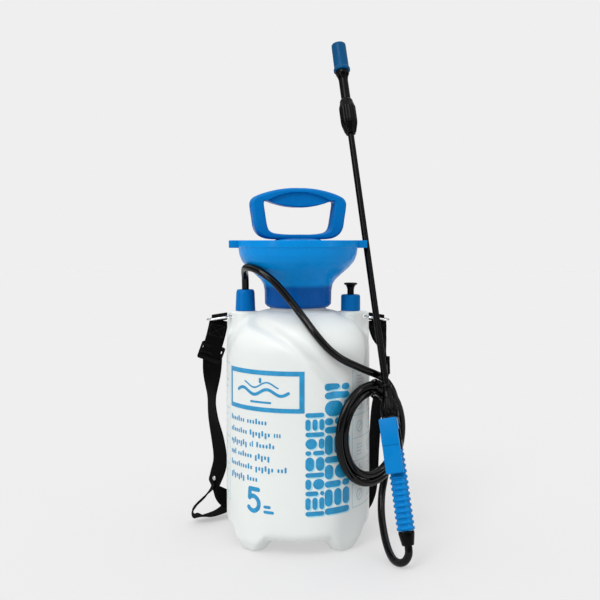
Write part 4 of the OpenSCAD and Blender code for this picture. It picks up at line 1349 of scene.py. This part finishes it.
def rings_and_buckles():
    half, radius = 6, 9
    path = np.array([(end * half + radius * math.cos(a), radius * math.sin(a), 0)
                     for end, start in ((1, -90), (-1, 90))
                     for a in np.radians(np.arange(start, start + 180, 10))])
    path = curve(path, 2, True)
    for side, name in ((-1, "left"), (1, "right")):
        mesh = loop_tube(Mesh(), path, circle(1.35, 14), (0, 0, 0))
        mesh.moved(shift(*EYE) @ turn(9, "Y") @ shift(radius + half, 0, 0)).on_side(side)
        put(mesh.build("strap_ring_" + name, CHROME), "tank", "bright_steel", "ring_" + name)
    places = {
        "left": shift(-110.5, 13.3, 227) @ turn(20, "Y"),
        "right": shift(112.5, 13.8, 211) @ turn(96, "Z") @ turn(8, "Y"),
    }
    width = STRAP_W + 6
    for name, matrix in places.items():
        mesh = Mesh()
        lay = matrix @ turn(90, "X")
        for z, height in ((-7.2, 8.2), (0, 5.4), (8.6, 5.4)):
            outline = rounded_box(width - 1, height, 1.6) + np.array([0, z])
            prism(mesh, outline, -1.7, 1.7, lay)
        for side in (-1, 1):
            outline = rounded_box(2.8, 21, 1.3) + np.array([side * (width / 2 - 1.3), 0])
            prism(mesh, outline, -1.5, 1.5, lay)
        put(mesh.build("slider_bars_" + name, BLACK, bevel=0.45), "tank", "black_plastic", "slider_" + name)
    matrix = shift(-107.5, 28, 62) @ turn(-50, "Z") @ turn(90, "X")
    head = [(0, 0.6), (3, 0.6, 0.2), (3.1, 1.1, 0.4), (2.6, 1.9, 0.8), (1.4, 2.2, 0.6),
            (1.2, 1.8, 0.3), (0, 1.8)]
    mesh = Mesh()
    for side in (-1, 1):
        profile = [(r, side * (z + STRAP_T / 2 - 0.4)) for r, z in rounded(head, False, 3)]
        mesh.join(lathe(Mesh(), profile, 32, False))
    mesh.join(lathe(Mesh(), [(0, -2), (1.5, -2), (1.5, 2), (0, 2)], 24, False))
    mesh.moved(matrix)
    put(mesh.build("strap_rivet_heads", STEEL), "tank", "bright_steel", "strap_rivet")


strap()
rings_and_buckles()


# ---- springs ----
def wound_spring(name, node, body, matrix, coil_r, wire_r, height, turns):
    """A compression spring from z = 0 with closed end turns."""
    steps = int(24 * (turns + 2))
    s = np.arange(steps + 1) / 24
    rise = np.clip((s - 1) / turns, 0, 1)
    z = wire_r + rise * (height - 2 * wire_r)
    a = 2 * math.pi * s
    mesh = tube(Mesh(), np.c_[polar(coil_r, a), z], wire_r, 10, (0, 0, 1)).moved(matrix)
    piece = mesh.build(name, STEEL)
    put(piece, body, "steel", node)
    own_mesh(piece)


def springs():
    wound_spring("relief_spring_wound", "relief_spring", "tank", shift(EAR_X, 0, EAR_TOP + 9.4),
                 5.7, 0.45, 8, 3.5)
    seat = TRIGGER_SIDE @ shift(0, 0.4, -238) @ turn(-90, "X")
    wound_spring("valve_spring_wound", "valve_spring", "lance", seat,
                 3, 0.35, 6.7, 4.5)


springs()


# ---- inner pieces, kept as the frame has them, each with its own material ----
FINISH = (
    (SEAL_RUBBER, ("neck_gasket", "outlet_seal", "relief_seal", "pump_gasket", "check_valve", "piston_seal",
                   "lance_seal", "nozzle_seal", "valve_seal")),
    (BLACK, ("outlet_fitting", "dip_filter", "piston", "valve_plug", "trigger_lock")),
    (NATURAL, ("dip_tube", "pump_barrel", "grip_filter")),
    (AZURE, ("pump_cap",)),
    (STEEL, ("pump_rod", "handle_pin")),
    (CHROME, ("valve_stem", "trigger_pin")),
)
for finish, names in FINISH:
    for name in names:
        recolored(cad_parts[name], finish)


# ---- studio ----
def studio():
    """A white-floored studio: soft light from overhead, dim walls, and a plain pale backdrop."""
    pale, backdrop_r, floor_half = 0.863, 12000, 9000
    world = bpy.data.worlds.new("studio")
    bpy.context.scene.world = world
    world.use_nodes = True
    nodes, link = world.node_tree.nodes, world.node_tree.links.new
    light = nodes["Background"]
    split = nodes.new("ShaderNodeSeparateXYZ")
    link(nodes.new("ShaderNodeTexCoord").outputs["Generated"], split.inputs[0])
    ramp = nodes.new("ShaderNodeValToRGB")
    stops = ((0.0, 0.10), (0.22, 0.16), (0.6, 1.0), (1.0, 1.35))
    ramp.color_ramp.elements.new(0.22)
    ramp.color_ramp.elements.new(0.6)
    for stop, (place, value) in zip(ramp.color_ramp.elements, stops):
        stop.position, stop.color = place, (value, value, value, 1)
    link(split.outputs["Z"], ramp.inputs["Fac"])
    link(ramp.outputs["Color"], light.inputs["Color"])

    # The backdrop is a big pale shell that the camera sees and that lights nothing.
    material = bpy.data.materials.new("backdrop")
    material.use_nodes = True
    shader = material.node_tree.nodes["Principled BSDF"]
    shader.inputs["Base Color"].default_value = (0, 0, 0, 1)
    shader.inputs["Specular IOR Level"].default_value = 0
    shader.inputs["Emission Color"].default_value = (1, 1, 1, 1)
    shader.inputs["Emission Strength"].default_value = pale
    a = np.linspace(-math.pi / 2, math.pi / 2, 25)
    profile = polar(backdrop_r, a)
    profile[[0, -1], 0] = 0
    shell = lathe(Mesh(), profile, 48, False).build("backdrop", material)
    shell.visible_diffuse = shell.visible_glossy = shell.visible_transmission = shell.visible_shadow = False
    # The floor lies a little under the feet.
    corners = [(x * floor_half, y * floor_half, -0.05) for x, y in ((-1, -1), (1, -1), (1, 1), (-1, 1))]
    floor = Mesh().add(corners, [[0, 1, 2, 3]]).build("floor", floor_surface())
    apart = bpy.data.collections.new("unlit_by_strips")
    apart.objects.link(floor)
    apart.collection_objects[0].light_linking.link_state = "EXCLUDE"

    def lamp(name, kind, energy, place, aim, **settings):
        data = bpy.data.lights.new(name, kind)
        data.energy = energy
        for key, value in settings.items():
            setattr(data, key, value)
        made = bpy.data.objects.new(name, data)
        made.location = place
        made.rotation_euler = (Vector(aim) - Vector(place)).to_track_quat("-Z", "Y").to_euler()
        bpy.context.scene.collection.objects.link(made)
        return made

    lamp("key", "SUN", 1.1, (-0.8, -1.3, 1.9), (0, 0, 0.2), angle=math.radians(28))
    strips = [
        lamp(name, "AREA", energy, place, (0, 0, 0.3), shape="RECTANGLE", size=0.03, size_y=tall)
        for name, energy, place, tall in (("strip_left", 3.2, (-0.85, -0.8, 0.62), 1.0),
                                          ("strip_right", 1.6, (0.95, -0.5, 0.6), 0.9))
    ]
    for strip in strips:
        strip.light_linking.receiver_collection = apart


studio()
